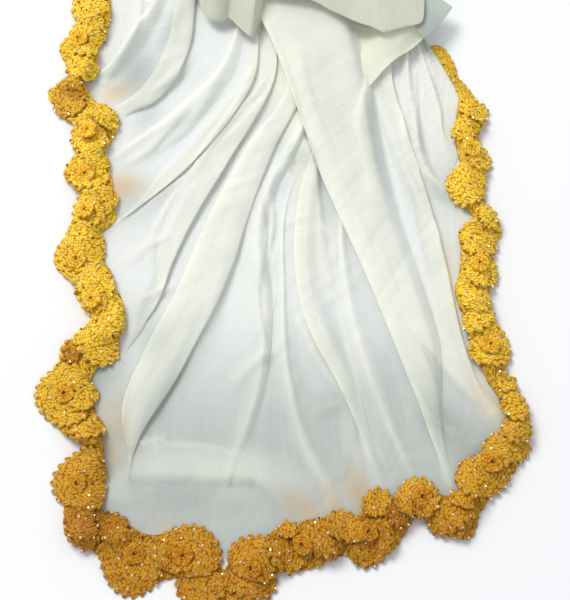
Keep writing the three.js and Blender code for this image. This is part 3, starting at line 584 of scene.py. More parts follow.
def spots(table, xy):
    """How strongly the soft oval places of a table reach each point."""
    reached = np.zeros(xy.shape[:-1])
    for x, y, half, wide, turn, strength in table:
        c, s = math.cos(math.radians(turn)), math.sin(math.radians(turn))
        dx, dy = xy[..., 0] - x, xy[..., 1] - y
        d = ((dx * c + dy * s) / half) ** 2 + ((dy * c - dx * s) / wide) ** 2
        reached = np.maximum(reached, strength * np.exp(-d * 0.9))
    return reached


HOLLOW_REACH = 7  # columns and rows of the cloth's net
HOLLOW_LEAST, HOLLOW_FULL = 2, 11  # mm below what stands beside it, where the painted shade starts and is full
# how strong the painted shade in the hollows is
HOLLOW_SHADE_STRENGTH = 0.48
FINE_STEP = 2.9  # mm, across the folds
STILL_FROM = 0.9  # of a fold's length, where the seam starts to hold the cloth down

net_waves, net = cloth_net()  # columns, rows, and for each x, y, height, doubled
spans = np.linalg.norm(np.diff(net[..., :3], axis=0), axis=2)
steps = np.clip(np.ceil(np.percentile(spans, 90, axis=1) / FINE_STEP), 2, 9).astype(int)
u = np.concatenate([(k + np.arange(n) / n) / (len(net) - 1) for k, n in enumerate(steps)] + [[1.0]])
places = u * (len(net) - 1)
cloth = spline(net[..., :3], u).transpose(1, 0, 2)  # rows, columns, and x, y, height
cloth_waves = np.interp(places, np.arange(len(net)), net_waves)
before = np.minimum(places.astype(int), len(net) - 2)
doubled = mix(net[before, :, 3], net[before + 1, :, 3], (places - before)[:, None]).T
t = ROWS_FINE[:, None]
cloth[..., 2] = np.maximum(cloth[..., 2], 0)
xy = cloth[..., :2]
still = 1 - ease(STILL_FROM, 1, t)
# loose waves along the folds, and how the doubled layers drift apart
across_mm = np.linalg.norm(np.diff(xy, axis=1), axis=2)
across_mm = np.cumsum(np.concatenate([np.zeros((len(t), 1)), across_mm], axis=1), axis=1)
streaks = noise(across_mm / 14, t * 4 + cloth_waves / 9, 3) * 0.9 + noise(across_mm / 7, t * 7 + 5, 4) * 0.4
streaks += noise(xy[..., 0] / 30, xy[..., 1] / 42, 5) * 0.9
loose = np.maximum(streaks + 0.4, 0) * np.minimum(1, 0.4 + t) * (1 - 0.45 * np.clip(doubled, 0, 1))
lift, creased = raised_by(CREASES, xy)
height = CLOTH_REST + cloth[..., 2] + (lift + loose) * still
seam_z = seam_height(cloth_waves)[None, :] + 0.1
cloth[..., 2] = mix(height, seam_z, ease(0.8, 1, t))
# painted shade: how deep the cloth lies beside what stands on its left and behind it, away from the light
beside = np.concatenate([np.repeat(cloth[:, :1, 2], HOLLOW_REACH, axis=1), cloth[..., 2]], axis=1)
beside = np.max([beside[:, k:k + cloth.shape[1]] for k in range(HOLLOW_REACH)], axis=0)
behind = np.concatenate([np.repeat(cloth[:1, :, 2], HOLLOW_REACH, axis=0), cloth[..., 2]])
behind = np.max([behind[k:k + cloth.shape[0]] for k in range(HOLLOW_REACH)], axis=0)
deep = np.maximum(beside, behind) - cloth[..., 2]
painted_hollow_shade = np.clip((deep - HOLLOW_LEAST) / (HOLLOW_FULL - HOLLOW_LEAST), 0, 1)
for _ in range(3):
    painted_hollow_shade = (np.roll(painted_hollow_shade, 1, axis=1) + painted_hollow_shade + np.roll(painted_hollow_shade, -1, axis=1)) / 3
    painted_hollow_shade = (painted_hollow_shade + np.roll(painted_hollow_shade, -1, axis=0) + np.roll(painted_hollow_shade, 1, axis=0)) / 3
painted_hollow_shade *= HOLLOW_SHADE_STRENGTH * ease(0, 0.06, t) * still
drift = noise(across_mm / 11, t * 2.2 + cloth_waves / 13, 8) * 0.6
drift += noise(across_mm / 4.5, t * 3.5 + 9, 9) * 0.4
doubled = np.maximum(np.clip(doubled, 0, 1) * (0.84 + 0.22 * drift), creased * still)
doubled = np.clip(doubled + (0.08 + 0.16 * drift) * (1 - doubled), 0, 1)
# the cloth goes on under the bunch
back = cloth[0] - cloth[6]
back /= np.linalg.norm(back[:, :2], axis=1, keepdims=True)
reach = np.linspace(UNDER_BUNCH, UNDER_BUNCH / ROWS_UNDER, ROWS_UNDER)
level = np.concatenate([back[:, :2] * [0.5, 1], np.zeros((len(back), 1))], axis=1)
under_bunch = cloth[0][None] + level[None] * reach[:, None, None]
cloth = np.concatenate([under_bunch, cloth])
doubled = np.concatenate([np.repeat(doubled[:1], len(reach), axis=0), doubled])
painted_hollow_shade = np.concatenate([np.repeat(painted_hollow_shade[:1], len(reach), axis=0), painted_hollow_shade])
spread = grid_mesh("cloth_spread_chiffon", at(cloth))
note(spread, "under", spots(SHOWS_THROUGH, cloth[..., :2]))
note(spread, "doubled", doubled)
note(spread, "painted_hollow_shade", np.maximum(painted_hollow_shade, spots(PAINTED_SHADE_SPOTS, cloth[..., :2])))
spread.data.materials.append(SHEER)
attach(spread, "root")
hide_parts("cloth_spread")

# ======================================================================================================
# CROCHETED EDGING OF THE SPREAD END
# Saffron yarn crocheted straight on to the cloth's edge in shell fans with picots, in eight stretches
# that ruffle, because the fans are longer than the edge that they are worked on.
# ======================================================================================================
# columns: name, from wave, to wave
STRETCHES = [
    ("left_top", 1, 11),
    ("left_middle", 11, 18),
    ("left_low", 18, 29),
    ("hem_left", 29, 37),
    ("hem_right", 37, 43.5),
    ("corner", 43.5, 51.5),
    ("right_low", 51.5, 58.5),
    ("right_top", 58.5, 66),
]
FAN_PITCH = 57
FAN_DEPTH = 7
PICOTS = 7  # on each fan
PICOT_REACH = 2.6
STITCH = 3.5  # mm, from row to row
EDGING_HALF = 1.1  # mm, half of its thickness
ARCH_SHARE = 0.72  # of the ruffle's arches, below the fans that lie on them
FLOOR_CLEAR = 0.12  # mm that the lowest yarn stays over the surface

# Places where the ruffle laps over itself
# columns: wave, half width in waves, how far it slides, how high it stands
FLAPS = [
    (6.4, 0.9, 15, 12),
    (9.2, 0.8, 13, 10),
    (12.9, 0.7, 10, 8),
    (17.4, 0.7, 11, 9),
    (20.6, 0.8, 13, 10),
    (24.9, 0.8, 15, 12),
    (28.3, 0.9, 15, 11),
    (34.8, 0.7, 12, 9),
    (38.6, 0.7, 12, 10),
    (41.4, 0.6, 13, 11),
    (44.8, 0.6, 12, 10),
    (51.2, 0.7, 10, 9),
    (54.4, 0.7, 9, 8),
    (58.9, 0.7, 12, 10),
]

mile_waves = 1 + np.arange(20 * (len(WAVES) - 1) + 1) / 20
mile_points = at_wave(OUTER, mile_waves)
outer_miles = np.concatenate([[0], np.cumsum(np.linalg.norm(np.diff(mile_points, axis=0), axis=1))])


def picot_reach(mile):
    """How far the picots reach past the edge, or the gaps between them stay behind it."""
    return PICOT_REACH * (np.abs(np.sin(np.pi * mile * PICOTS / FAN_PITCH)) ** 0.6 - 0.5)


def edging_surface(waves, across):
    """Points on the middle of the edging, across from the seam at 0 to the fan points at 1."""
    seam = at_wave(SEAM, waves)
    outer = at_wave(OUTER, waves)
    mile = np.interp(waves, mile_waves, outer_miles)
    out = outer - seam
    reach = np.linalg.norm(out, axis=1)
    out /= reach[:, None]
    reach = reach + FAN_DEPTH * (np.abs(np.sin(np.pi * mile / FAN_PITCH)) ** 0.7 - 0.6)
    arch = arch_at(waves)
    a = across[:, None]
    edge = picot_reach(mile) * a**6
    place = 0.3 + (reach - 0.3) * a - 0.2 * arch * np.sin(np.pi * a) + edge
    z = EDGING_HALF + (seam_height(waves) - 0.6) * (1 - a) + ARCH_SHARE * arch * np.sin(np.pi * a**0.85)
    xy = seam[None] + out[None] * place[..., None]
    way = np.gradient(outer, waves, axis=0)
    way /= np.linalg.norm(way, axis=1, keepdims=True)
    for wave, half, slide, stand in FLAPS:
        k = (waves - wave) / half
        window = np.exp(-(k**2) * 0.7)
        free = ease(0.1, 0.85, a)
        xy = xy - way[None] * (slide * np.tanh(1.5 * k) * window * free)[..., None]
        z = z + stand * free * np.exp(-((k + 0.45) ** 2) * 1.6) * np.sin(np.pi * np.clip(a * 0.8, 0, 1))
    return np.concatenate([xy, z[..., None]], axis=2), mile


def stitches(mile, across):
    """Stitch coordinates inside a fan, and the height of the stitches and picots there."""
    a = across[:, None]
    fan = np.floor(mile / FAN_PITCH)
    x = (mile - (fan + 0.5) * FAN_PITCH)[None] * (0.45 + 0.55 * a)
    y = a * EDGING_DEEP + 7
    radius = np.hypot(x, y)
    angle = np.arctan2(x, y)
    v = radius / STITCH
    row = np.floor(v)
    along_row = angle * (row + 0.5) * 0.95
    lump = np.sin(np.pi * (v - row)) ** 0.7 * (0.45 + 0.55 * np.abs(np.sin(np.pi * along_row)))
    between = (mile * PICOTS / FAN_PITCH) % 1 - 0.5
    picot = np.sqrt(np.maximum(0, 1 - (between * 2.1) ** 2 - ((a - 0.9) * EDGING_DEEP / 4.6) ** 2))
    high = np.where(picot > 0.05, 1.5 * picot, 0.95 * lump)
    high += 0.35 * noise(mile[None] / 3.1, a * 17, 11)
    return angle * radius / STITCH + fan * 7.3, v, high


def walled(middle, high, half, closed=True):
    """A sheet's points, faces and outer side, which carries the stitches. A closed one has an underside."""
    rows, columns = middle.shape[:2]
    normal = np.cross(np.gradient(middle, axis=0), np.gradient(middle, axis=1))
    normal /= np.maximum(np.linalg.norm(normal, axis=2, keepdims=True), 1e-9)
    if np.median(normal[..., 2]) < 0:
        normal = -normal
    thin = np.full((rows, columns), half)
    thin[-1] = 0.35 * half
    top = middle + normal * (thin + high)[..., None]
    bottom = middle - normal * (thin + 0.25 * high)[..., None]
    top[..., 2] = np.maximum(top[..., 2], FLOOR_CLEAR + 0.5)
    bottom[..., 2] = np.maximum(bottom[..., 2], FLOOR_CLEAR)
    n = rows * columns
    index = np.arange(n).reshape(rows, columns)
    skin = quads_between(index)
    faces = [skin, skin[:, ::-1] + n] if closed else [skin]
    for edge, flip in ((index[0], 0), (index[-1], 1), (index[:, 0], 1), (index[:, -1], 0)):
        wall = np.stack([edge[:-1], edge[1:], edge[1:] + n, edge[:-1] + n], axis=-1)
        faces.append(wall[:, ::-1] if flip else wall)
    return np.concatenate([top.reshape(-1, 3), bottom.reshape(-1, 3)]), np.concatenate(faces), top


# ---- saffron yarn: painted highlights on the stitches, painted shade in dark orange-brown in the gaps between them ----
YARN_HIGHLIGHT = (1.0, 0.80, 0.10, 1)
# painted shade: the yarn is darker towards the hem
YARN_SHADE_AT_HEM = (0.62, 0.46, 0.32, 1)
TURNED_AWAY = (0.42, 0.14, 0.03, 1)  # where the edging turns over and lies in its own shade
YARN = (0.92, 0.56, 0.02, 1)
YARN_GAP_SHADE = (0.46, 0.14, 0.004, 1)
YARN_BUMP = 0.0012  # m, between the stitches
YARN_SHADE_FROM, YARN_SHADE_FULL = -0.12, -0.34  # m along the scarf, where the painted shade towards the hem starts and where it is full


def crochet(name, light, main, gap):
    """Yarn worked in stitches. The mesh says where they are and how much each part is in the shade."""
    made = material(name)
    tree = made.node_tree
    u = node(tree, "ShaderNodeAttribute", attribute_name="stitch_u")
    v = node(tree, "ShaderNodeAttribute", attribute_name="stitch_v")
    place = node(tree, "ShaderNodeCombineXYZ", {0: u.outputs["Fac"], 1: v.outputs["Fac"]})
    cells = node(
        tree, "ShaderNodeTexVoronoi", {"Vector": place.outputs[0], "Scale": 1.15, "Randomness": 0.75},
        voronoi_dimensions="2D",
    )
    fine = node(
        tree, "ShaderNodeTexNoise", {"Vector": place.outputs[0], "Scale": 3.3, "Detail": 2.0},
        noise_dimensions="2D",
    )
    broad = node(
        tree, "ShaderNodeTexNoise", {"Vector": place.outputs[0], "Scale": 0.35, "Detail": 2.0},
        noise_dimensions="2D",
    )
    rough = node(tree, "ShaderNodeMath", {0: fine.outputs[0], 1: 0.5}, operation="SUBTRACT")
    far = node(
        tree, "ShaderNodeMath", {0: rough.outputs[0], 1: 0.8, 2: cells.outputs["Distance"]},
        operation="MULTIPLY_ADD",
    )
    # painted highlight on the stitch tops and painted shade in the gaps between them
    ramp = node(tree, "ShaderNodeValToRGB", {0: far.outputs[0]})
    colours = ramp.color_ramp
    colours.elements[0].position = 0.14
    colours.elements[0].color = light
    colours.elements[1].position = 0.76
    colours.elements[1].color = gap
    middle = colours.elements.new(0.42)
    middle.color = main
    shade = node(tree, "ShaderNodeMapRange", {0: broad.outputs[0], 1: 0.3, 2: 0.7, 3: 0.78, 4: 1.12})
    tone = node(tree, "ShaderNodeAttribute", attribute_name="shade")
    where = node(tree, "ShaderNodeTexCoord")
    split = node(tree, "ShaderNodeSeparateXYZ", {0: where.outputs["Object"]})
    # painted shade towards the hem
    down = node(
        tree, "ShaderNodeMapRange",
        {0: split.outputs["Y"], 1: YARN_SHADE_FROM, 2: YARN_SHADE_FULL, 3: 0.0, 4: 1.0},
    )
    toned = node(tree, "ShaderNodeMath", {0: shade.outputs[0], 1: tone.outputs["Fac"]}, operation="MULTIPLY")
    darker = node(
        tree, "ShaderNodeMath", {0: 1.0, 1: toned.outputs[0]}, operation="SUBTRACT", use_clamp=True,
    )
    turned = node(
        tree, "ShaderNodeMix", {0: darker.outputs[0], 6: ramp.outputs[0], 7: TURNED_AWAY}, data_type="RGBA",
        blend_type="MULTIPLY",
    )
    coloured = node(
        tree, "ShaderNodeMix", {0: down.outputs[0], 6: turned.outputs[2], 7: YARN_SHADE_AT_HEM},
        data_type="RGBA", blend_type="MULTIPLY",
    )
    bump = node(
        tree, "ShaderNodeBump", {"Strength": 0.7, "Distance": YARN_BUMP, "Height": far.outputs[0]},
        invert=True,
    )
    yarn = node(
        tree, "ShaderNodeBsdfPrincipled",
        {"Base Color": coloured.outputs[2], "Roughness": 0.62, "Normal": bump.outputs[0],
         "Sheen Weight": 0.08, "Sheen Roughness": 0.5, "Sheen Tint": light, "Specular IOR Level": 0.22},
    )
    node(tree, "ShaderNodeOutputMaterial", {"Surface": yarn.outputs[0]})
    return made


YARN_WORKED = crochet("saffron_crochet", YARN_HIGHLIGHT, YARN, YARN_GAP_SHADE)


def yarn_piece(name, patches):
    """One mesh of walled patches, each with its stitch coordinates and its shade."""
    points, faces, us, vs, shades, base = [], [], [], [], [], 0
    for patch_points, patch_faces, u, v, shade in patches:
        points.append(patch_points)
        faces.append(patch_faces + base)
        base += len(patch_points)
        for kept, values in ((us, u), (vs, v), (shades, shade)):
            kept.append(np.concatenate([np.broadcast_to(values, v.shape).ravel()] * 2))
    used, faces = np.unique(np.concatenate(faces), return_inverse=True)
    piece = raw_mesh(name, at(np.concatenate(points)[used]), faces.reshape(-1, 4))
    note(piece, "stitch_u", np.concatenate(us)[used])
    note(piece, "stitch_v", np.concatenate(vs)[used])
    note(piece, "shade", np.concatenate(shades)[used])
    piece.data.materials.append(YARN_WORKED)
    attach(piece, "root")
    return piece


def band_patch(middle, mile, across, shade):
    """A stretch of the edging's band, as a patch of yarn, and its outer side."""
    u, v, high = stitches(mile, across)
    points, faces, top = walled(middle, high, EDGING_HALF)
    return (points, faces, u, v, shade), top


# ---- what lies where, so that each fan can lie on what is under it ----
LIE_CELL = 2.0  # mm
LIE_START = np.array([-280.0, -350.0])
lie = np.zeros((470, 290))  # the greatest height so far in each cell


def lie_cells(xy):
    cells = ((xy - LIE_START) / LIE_CELL).astype(int)
    return np.clip(cells[..., 1], 0, lie.shape[0] - 1), np.clip(cells[..., 0], 0, lie.shape[1] - 1)


def lay_down(points):
    rows, columns = lie_cells(points[..., :2])
    np.maximum.at(lie, (rows.ravel(), columns.ravel()), points[..., 2].ravel())


def slid(heights, reach, most):
    """The greatest or the mean of the heights within a reach."""
    for axis in (0, 1):
        moved = [np.roll(heights, k, axis=axis) for k in range(-reach, reach + 1)]
        heights = np.max(moved, axis=0) if most else np.mean(moved, axis=0)
    return heights


def height_under(xy):
    """How high the next piece rests at points, because yarn and cloth bridge small dips."""
    top = slid(lie, 1, True)
    smooth = np.maximum(slid(slid(top, 1, False), 1, False), 0.9 * slid(slid(top, 3, False), 3, False))
    place = (xy - LIE_START) / LIE_CELL - 0.5
    i, j = np.floor(place[..., 1]).astype(int), np.floor(place[..., 0]).astype(int)
    a, b = place[..., 1] - i, place[..., 0] - j
    return mix(mix(smooth[i, j], smooth[i + 1, j], a), mix(smooth[i, j + 1], smooth[i + 1, j + 1], a), b)


# Each fan that shows on the ruffle, the lower ones first
# columns: stretch, middle x and y, radius, degrees that it points towards, how far its middle swells, shade
FANS = [
    ("left_top", -221, 402, 19, 100, 2, 1.0),
    ("left_top", -222, 388, 21, 185, 2, 1.0),
    ("left_top", -218, 350, 20, 200, 2, 1.0),
    ("left_top", -219, 317, 20, 190, 3, 1.0),
    ("left_top", -225, 271, 18, 205, 2, 1.0),
    ("left_top", -222, 291, 12, 250, 3, 1.0),
    ("left_top", -207, 211, 16, 300, 1, 1.0),
    ("left_top", -237, 232, 20, 175, 4, 0.62),
    ("left_top", -213, 186, 19, 215, 1, 1.0),
    ("left_top", -196, 207, 14, 60, 3, 1.0),
    ("left_middle", -211, 146, 23, 180, 2, 1.0),
    ("left_middle", -194, 109, 15, 150, 1, 1.0),
    ("left_middle", -209, 98, 17, 200, 3, 1.0),
    ("left_middle", -213, 54, 24, 180, 2, 1.0),
    ("left_low", -198, 17, 20, 200, 1, 1.0),
    ("left_low", -185, -21, 20, 190, 1, 1.0),
    ("left_low", -199, -3, 14, 200, 3, 1.0),
    ("left_low", -220, -61, 10, 190, 0, 0.42),
    ("left_low", -193, -52, 21, 200, 3, 1.0),
    ("left_low", -200, -139, 16, 215, 1, 1.0),
    ("left_low", -224, -107, 28, 185, 3, 1.0),
    ("left_low", -205, -108, 14, 150, 1, 1.0),
    ("left_low", -203, -196, 27, 182, 3, 0.92),
    ("hem_left", -199, -243, 17, 200, 0, 0.62),
    ("hem_left", -171, -240, 14, 20, 1, 0.6),
    ("hem_left", -151, -275, 29, 240, 3, 0.95),
    ("hem_left", -81, -300, 21, 255, 1, 0.85),
    ("hem_left", -96, -264, 27, 80, 3, 0.92),
    ("hem_left", -34, -292, 23, 265, 1, 0.85),
    ("hem_left", -30, -273, 23, 70, 3, 0.92),
    ("hem_right", 4, -265, 19, 270, 1, 0.9),
    ("hem_right", 33, -252, 21, 275, 2, 0.85),
    ("hem_right", 3, -245, 9, 95, 2, 1.0),
    ("hem_right", 84, -258, 21, 275, 1, 0.75),
    ("hem_right", 60, -242, 17, 80, 3, 0.95),
    ("hem_right", 92, -218, 15, 90, 2, 1.0),
    ("hem_right", 111, -230, 12, 270, 0, 0.5),
    ("corner", 164, -229, 20, 290, 2, 0.9),
    ("corner", 130, -213, 21, 85, 3, 0.98),
    ("corner", 176, -214, 11, 70, 3, 0.95),
    ("corner", 197, -191, 25, 290, 2, 0.95),
    ("corner", 222, -162, 20, 300, 1, 0.95),
    ("corner", 233, -142, 16, 340, 2, 0.9),
    ("corner", 232, -118, 14, 20, 1, 0.98),
    ("right_low", 225, -94, 11, 10, 0, 0.95),
    ("right_low", 210, -52, 23, 355, 3, 0.98),
    ("right_low", 200, -24, 16, 340, 1, 0.98),
    ("right_low", 198, 1, 18, 10, 2, 0.98),
    ("right_low", 204, 29, 18, 0, 2, 0.98),
    ("right_low", 203, 63, 19, 15, 3, 0.9),
    ("right_top", 215, 88, 12, 30, 1, 0.98),
    ("right_top", 195, 129, 22, 170, 3, 1.0),
    ("right_top", 208, 161, 15, 10, 1, 1.0),
    ("right_top", 197, 193, 14, 150, 2, 1.0),
    ("right_top", 207, 216, 14, 60, 3, 1.0),
]
FAN_SPREAD = math.radians(80)  # to each side of the way that it points
PICOT_WIDE = 9.3
PICOT_DEEP = 6.4
FAN_GRID = 1.2  # mm between the points of its net
FAN_SWELL = 0.2  # of the swell that the fan's row gives
FAN_HALF = 0.6  # mm, half of its thickness
FAN_GAP = 0.2  # mm, over what it lies on
FAN_FULL = 0.97  # of the radius that shows, because the next fan covers some of it


def fan_patch(x, y, radius, points_to, swell, shade, seed):
    """A fan worked from one point of the seam, in rows of stitches, with picots round its rim."""
    way = math.radians(points_to)
    radius = radius * FAN_FULL
    root = np.array([x - radius * math.cos(way), y - radius * math.sin(way)])
    columns = int(2 * FAN_SPREAD * 1.25 * radius / FAN_GRID)
    rows = max(10, int(2 * radius / FAN_GRID))
    turn = np.linspace(-FAN_SPREAD, FAN_SPREAD, columns)
    random = np.random.default_rng(seed)
    uneven = 1 + 0.05 * np.sin(3 * turn + random.uniform(0, 6))
    uneven += 0.03 * np.sin(5 * turn + random.uniform(0, 6))
    full = 2 * radius * np.maximum(np.cos(turn), 0.12) ** random.uniform(0.45, 0.85) * uneven
    rim_xy = np.stack([full * np.cos(turn), full * np.sin(turn)], axis=1)
    mile = np.concatenate([[0], np.cumsum(np.linalg.norm(np.diff(rim_xy, axis=0), axis=1))])
    picots = max(3, round(mile[-1] / PICOT_WIDE))
    bump = np.abs(np.sin(np.pi * mile / mile[-1] * picots))
    s = np.linspace(0.1, 1, rows)[:, None]
    reach = full[None] * s + PICOT_DEEP * (bump**0.8 - 0.6)[None] * s**4
    px = root[0] + reach * np.cos(way + turn)[None]
    py = root[1] + reach * np.sin(way + turn)[None]
    away = np.hypot(px - x, py - y) / radius
    under = height_under(np.stack([px, py], axis=-1))
    wavy = 1.2 * np.sin(2.4 * turn + random.uniform(0, 6))[None] * s**2
    z = under + FAN_HALF + FAN_GAP + FAN_SWELL * swell * np.clip(1 - away**2, 0, 1) + np.maximum(wavy, -0.6)
    middle = np.stack([px, py, z], axis=-1)
    v = reach / STITCH
    row = np.floor(v)
    along_row = turn[None] * (row + 0.5) * 0.95
    lump = np.sin(np.pi * (v - row)) ** 0.7 * (0.4 + 0.6 * np.abs(np.sin(np.pi * along_row)))
    from_rim = (full[None] - reach) / 4.4
    knob = np.sqrt(np.maximum(0, 1 - ((1 - bump[None]) * 1.5) ** 2 - (from_rim - 0.3) ** 2))
    high = np.where(knob > 0.1, np.maximum(1.35 * knob, 0.6 * lump), 0.9 * lump)
    points, faces, top = walled(middle, high, FAN_HALF, closed=False)
    lay_down(top)
    # painted shade: each fan darker towards its rim, times a random tone for the fan
    tone = shade * random.uniform(0.94, 1.05) * (1 - 0.12 * np.clip((away - 0.86) / 0.2, 0, 1) * (1 - knob))
    return (points, faces, turn[None] * v + seed * 3.7, v + seed, tone), top


# ---- small flat-backed crystals, ironed on all over the edging ----
CRYSTAL_WIDE = 2.6
CRYSTAL_SIDES = 8
CRYSTAL_PITCH = 9.6
CRYSTAL_TRIES = 4000  # places looked at on each fan or stretch
# rings: width as a share of its own, height in mm over the yarn
CRYSTAL_RINGS = [(1.0, -0.5), (1.0, 0.35), (0.55, 1.15)]
crystal_random = np.random.default_rng(21)


def crystal_material(name, colour, film):
    made = material(name)
    tree = made.node_tree
    stone = node(
        tree, "ShaderNodeBsdfPrincipled",
        {"Base Color": colour, "Metallic": 0.55, "Roughness": 0.2, "Coat Weight": 0.3,
         "Thin Film Thickness": film, "Thin Film IOR": 1.45},
    )
    node(tree, "ShaderNodeOutputMaterial", {"Surface": stone.outputs[0]})
    return made


CRYSTAL_LOOKS = [
    crystal_material("crystal_white", (0.90, 0.86, 0.74, 1), 0.0),
    crystal_material("crystal_pink", (0.78, 0.52, 0.46, 1), 420.0),
    crystal_material("crystal_green", (0.50, 0.60, 0.34, 1), 520.0),
    crystal_material("crystal_dark", (0.22, 0.15, 0.08, 1), 300.0),
]
CRYSTAL_SHARES = [0.28, 0.24, 0.24, 0.24]


def crystal_places(tops):
    """Places and normals on the outer sides of patches, apart from one another, where nothing lies over."""
    kept = []
    for top in tops:
        inner = top[1:-1, 1:-1].reshape(-1, 3)
        normals = np.cross(top[2:, 1:-1] - top[:-2, 1:-1], top[1:-1, 2:] - top[1:-1, :-2]).reshape(-1, 3)
        size = np.linalg.norm(normals, axis=1, keepdims=True)
        normals = normals / np.maximum(size, 1e-9) * np.where(normals[:, 2:] < 0, -1, 1)
        clear = (size[:, 0] > 1e-6) & (inner[:, 2] > lie[lie_cells(inner[:, :2])] - 1.3)
        order = crystal_random.permutation(np.flatnonzero(clear))
        for k in order[:CRYSTAL_TRIES]:
            p = inner[k]
            if all(math.dist(p[:2], q[:2]) > CRYSTAL_PITCH * room for q, _, room in kept):
                kept.append((p, normals[k], crystal_random.uniform(0.6, 1.3)))
    return kept


def crystals_on(name, tops):
    """Crystals with a girdle, a table and a point, spread over the outer sides of patches."""
    corners, faces, kinds = [], [], []
    sides = CRYSTAL_SIDES
    for p, normal, _ in crystal_places(tops):
        normal = normal + crystal_random.normal(0, 0.12, 3)
        normal /= np.linalg.norm(normal)
        side = np.cross(normal, (0.3, 1.0, 0.1))
        side /= np.linalg.norm(side)
        other = np.cross(normal, side)
        turn = crystal_random.uniform(0, math.tau)
        r = CRYSTAL_WIDE / 2 * crystal_random.uniform(0.85, 1.1)
        base = len(corners)
        for ring, (wide, tall) in enumerate(CRYSTAL_RINGS):
            half_step = 0.5 if ring == 2 else 0
            for k in range(sides):
                angle = turn + math.tau * (k + half_step) / sides
                spoke = side * math.cos(angle) + other * math.sin(angle)
                corners.append(p + spoke * r * wide + normal * tall)
        corners.append(p + normal * CRYSTAL_RINGS[2][1])
        for k in range(sides):
            m = (k + 1) % sides
            faces += [(base + k, base + m, base + sides + m), (base + k, base + sides + m, base + sides + k)]
            faces += [(base + sides + k, base + sides + m, base + 2 * sides + k)]
            faces += [(base + sides + m, base + 2 * sides + m, base + 2 * sides + k)]
            faces += [(base + 2 * sides + k, base + 2 * sides + m, base + 3 * sides)]
        kinds += [crystal_random.choice(len(CRYSTAL_LOOKS), p=CRYSTAL_SHARES)] * (5 * sides)
    piece = raw_mesh(name, at(np.array(corners)), np.array(faces))
    for look in CRYSTAL_LOOKS:
        piece.data.materials.append(look)
    piece.data.polygons.foreach_set("material_index", np.array(kinds, dtype=np.int32))
    piece.data.shade_flat()
    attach(piece, "root")
    return piece


ACROSS_FINE = np.linspace(0, 1, 34) ** 0.95  # shares of the edging's depth
ALONG_FINE = 1.4  # mm, along its outer edge
edgings = {}
lay_down(cloth)
for name, start, stop in STRETCHES:
    first, last = np.interp([start, stop], mile_waves, outer_miles)
    count = int((last - first) / ALONG_FINE)
    waves = np.interp(np.linspace(first + 0.15, last - 0.15, count), outer_miles, mile_waves)
    middle, mile = edging_surface(waves, ACROSS_FINE)
    patch, top = band_patch(middle, mile, ACROSS_FINE, 0.86)
    lay_down(top)
    piece = yarn_piece(f"edging_{name}_crochet", [patch])
    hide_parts(f"edging_{name}")
    edgings[name] = {"piece": piece, "with": [], "length": last - first, "tops": [top]}
for name in edgings:
    patches = []
    for seed, (stretch, x, y, radius, points_to, swell, shade) in enumerate(FANS):
        if stretch == name:
            patch, top = fan_patch(x, y, radius, points_to, swell, shade, seed)
            patches.append(patch)
            edgings[name]["tops"].append(top)
    edgings[name]["with"].append(yarn_piece(f"fans_{name}", patches))
for name in edgings:
    edgings[name]["with"].append(crystals_on(f"crystals_{name}", edgings[name]["tops"][::-1]))

# ======================================================================================================
# CROCHETED ROSES
# Each is a strip of saffron yarn wound up in a flat spiral, and sewn on a wave of the edging.
# ======================================================================================================
ROSE_RADIUS = 12
ROSE_TURNS = 3.1
ROSE_STEPS = 34  # in each turn
STRAND_RIM = 8  # points round the strand
STRAND_HALF_WIDE, STRAND_HALF_TALL = 1.85, 1.8
ROSE_MOST_RAISED = 6  # mm, where fans lie under it

# columns: the stretch of edging, how many roses it has
ROSE_HOMES = [
    ("left_top", 2), ("left_middle", 3), ("left_low", 3), ("hem_left", 3), ("hem_right", 3), ("corner", 1),
    ("right_low", 2), ("right_top", 1),
]
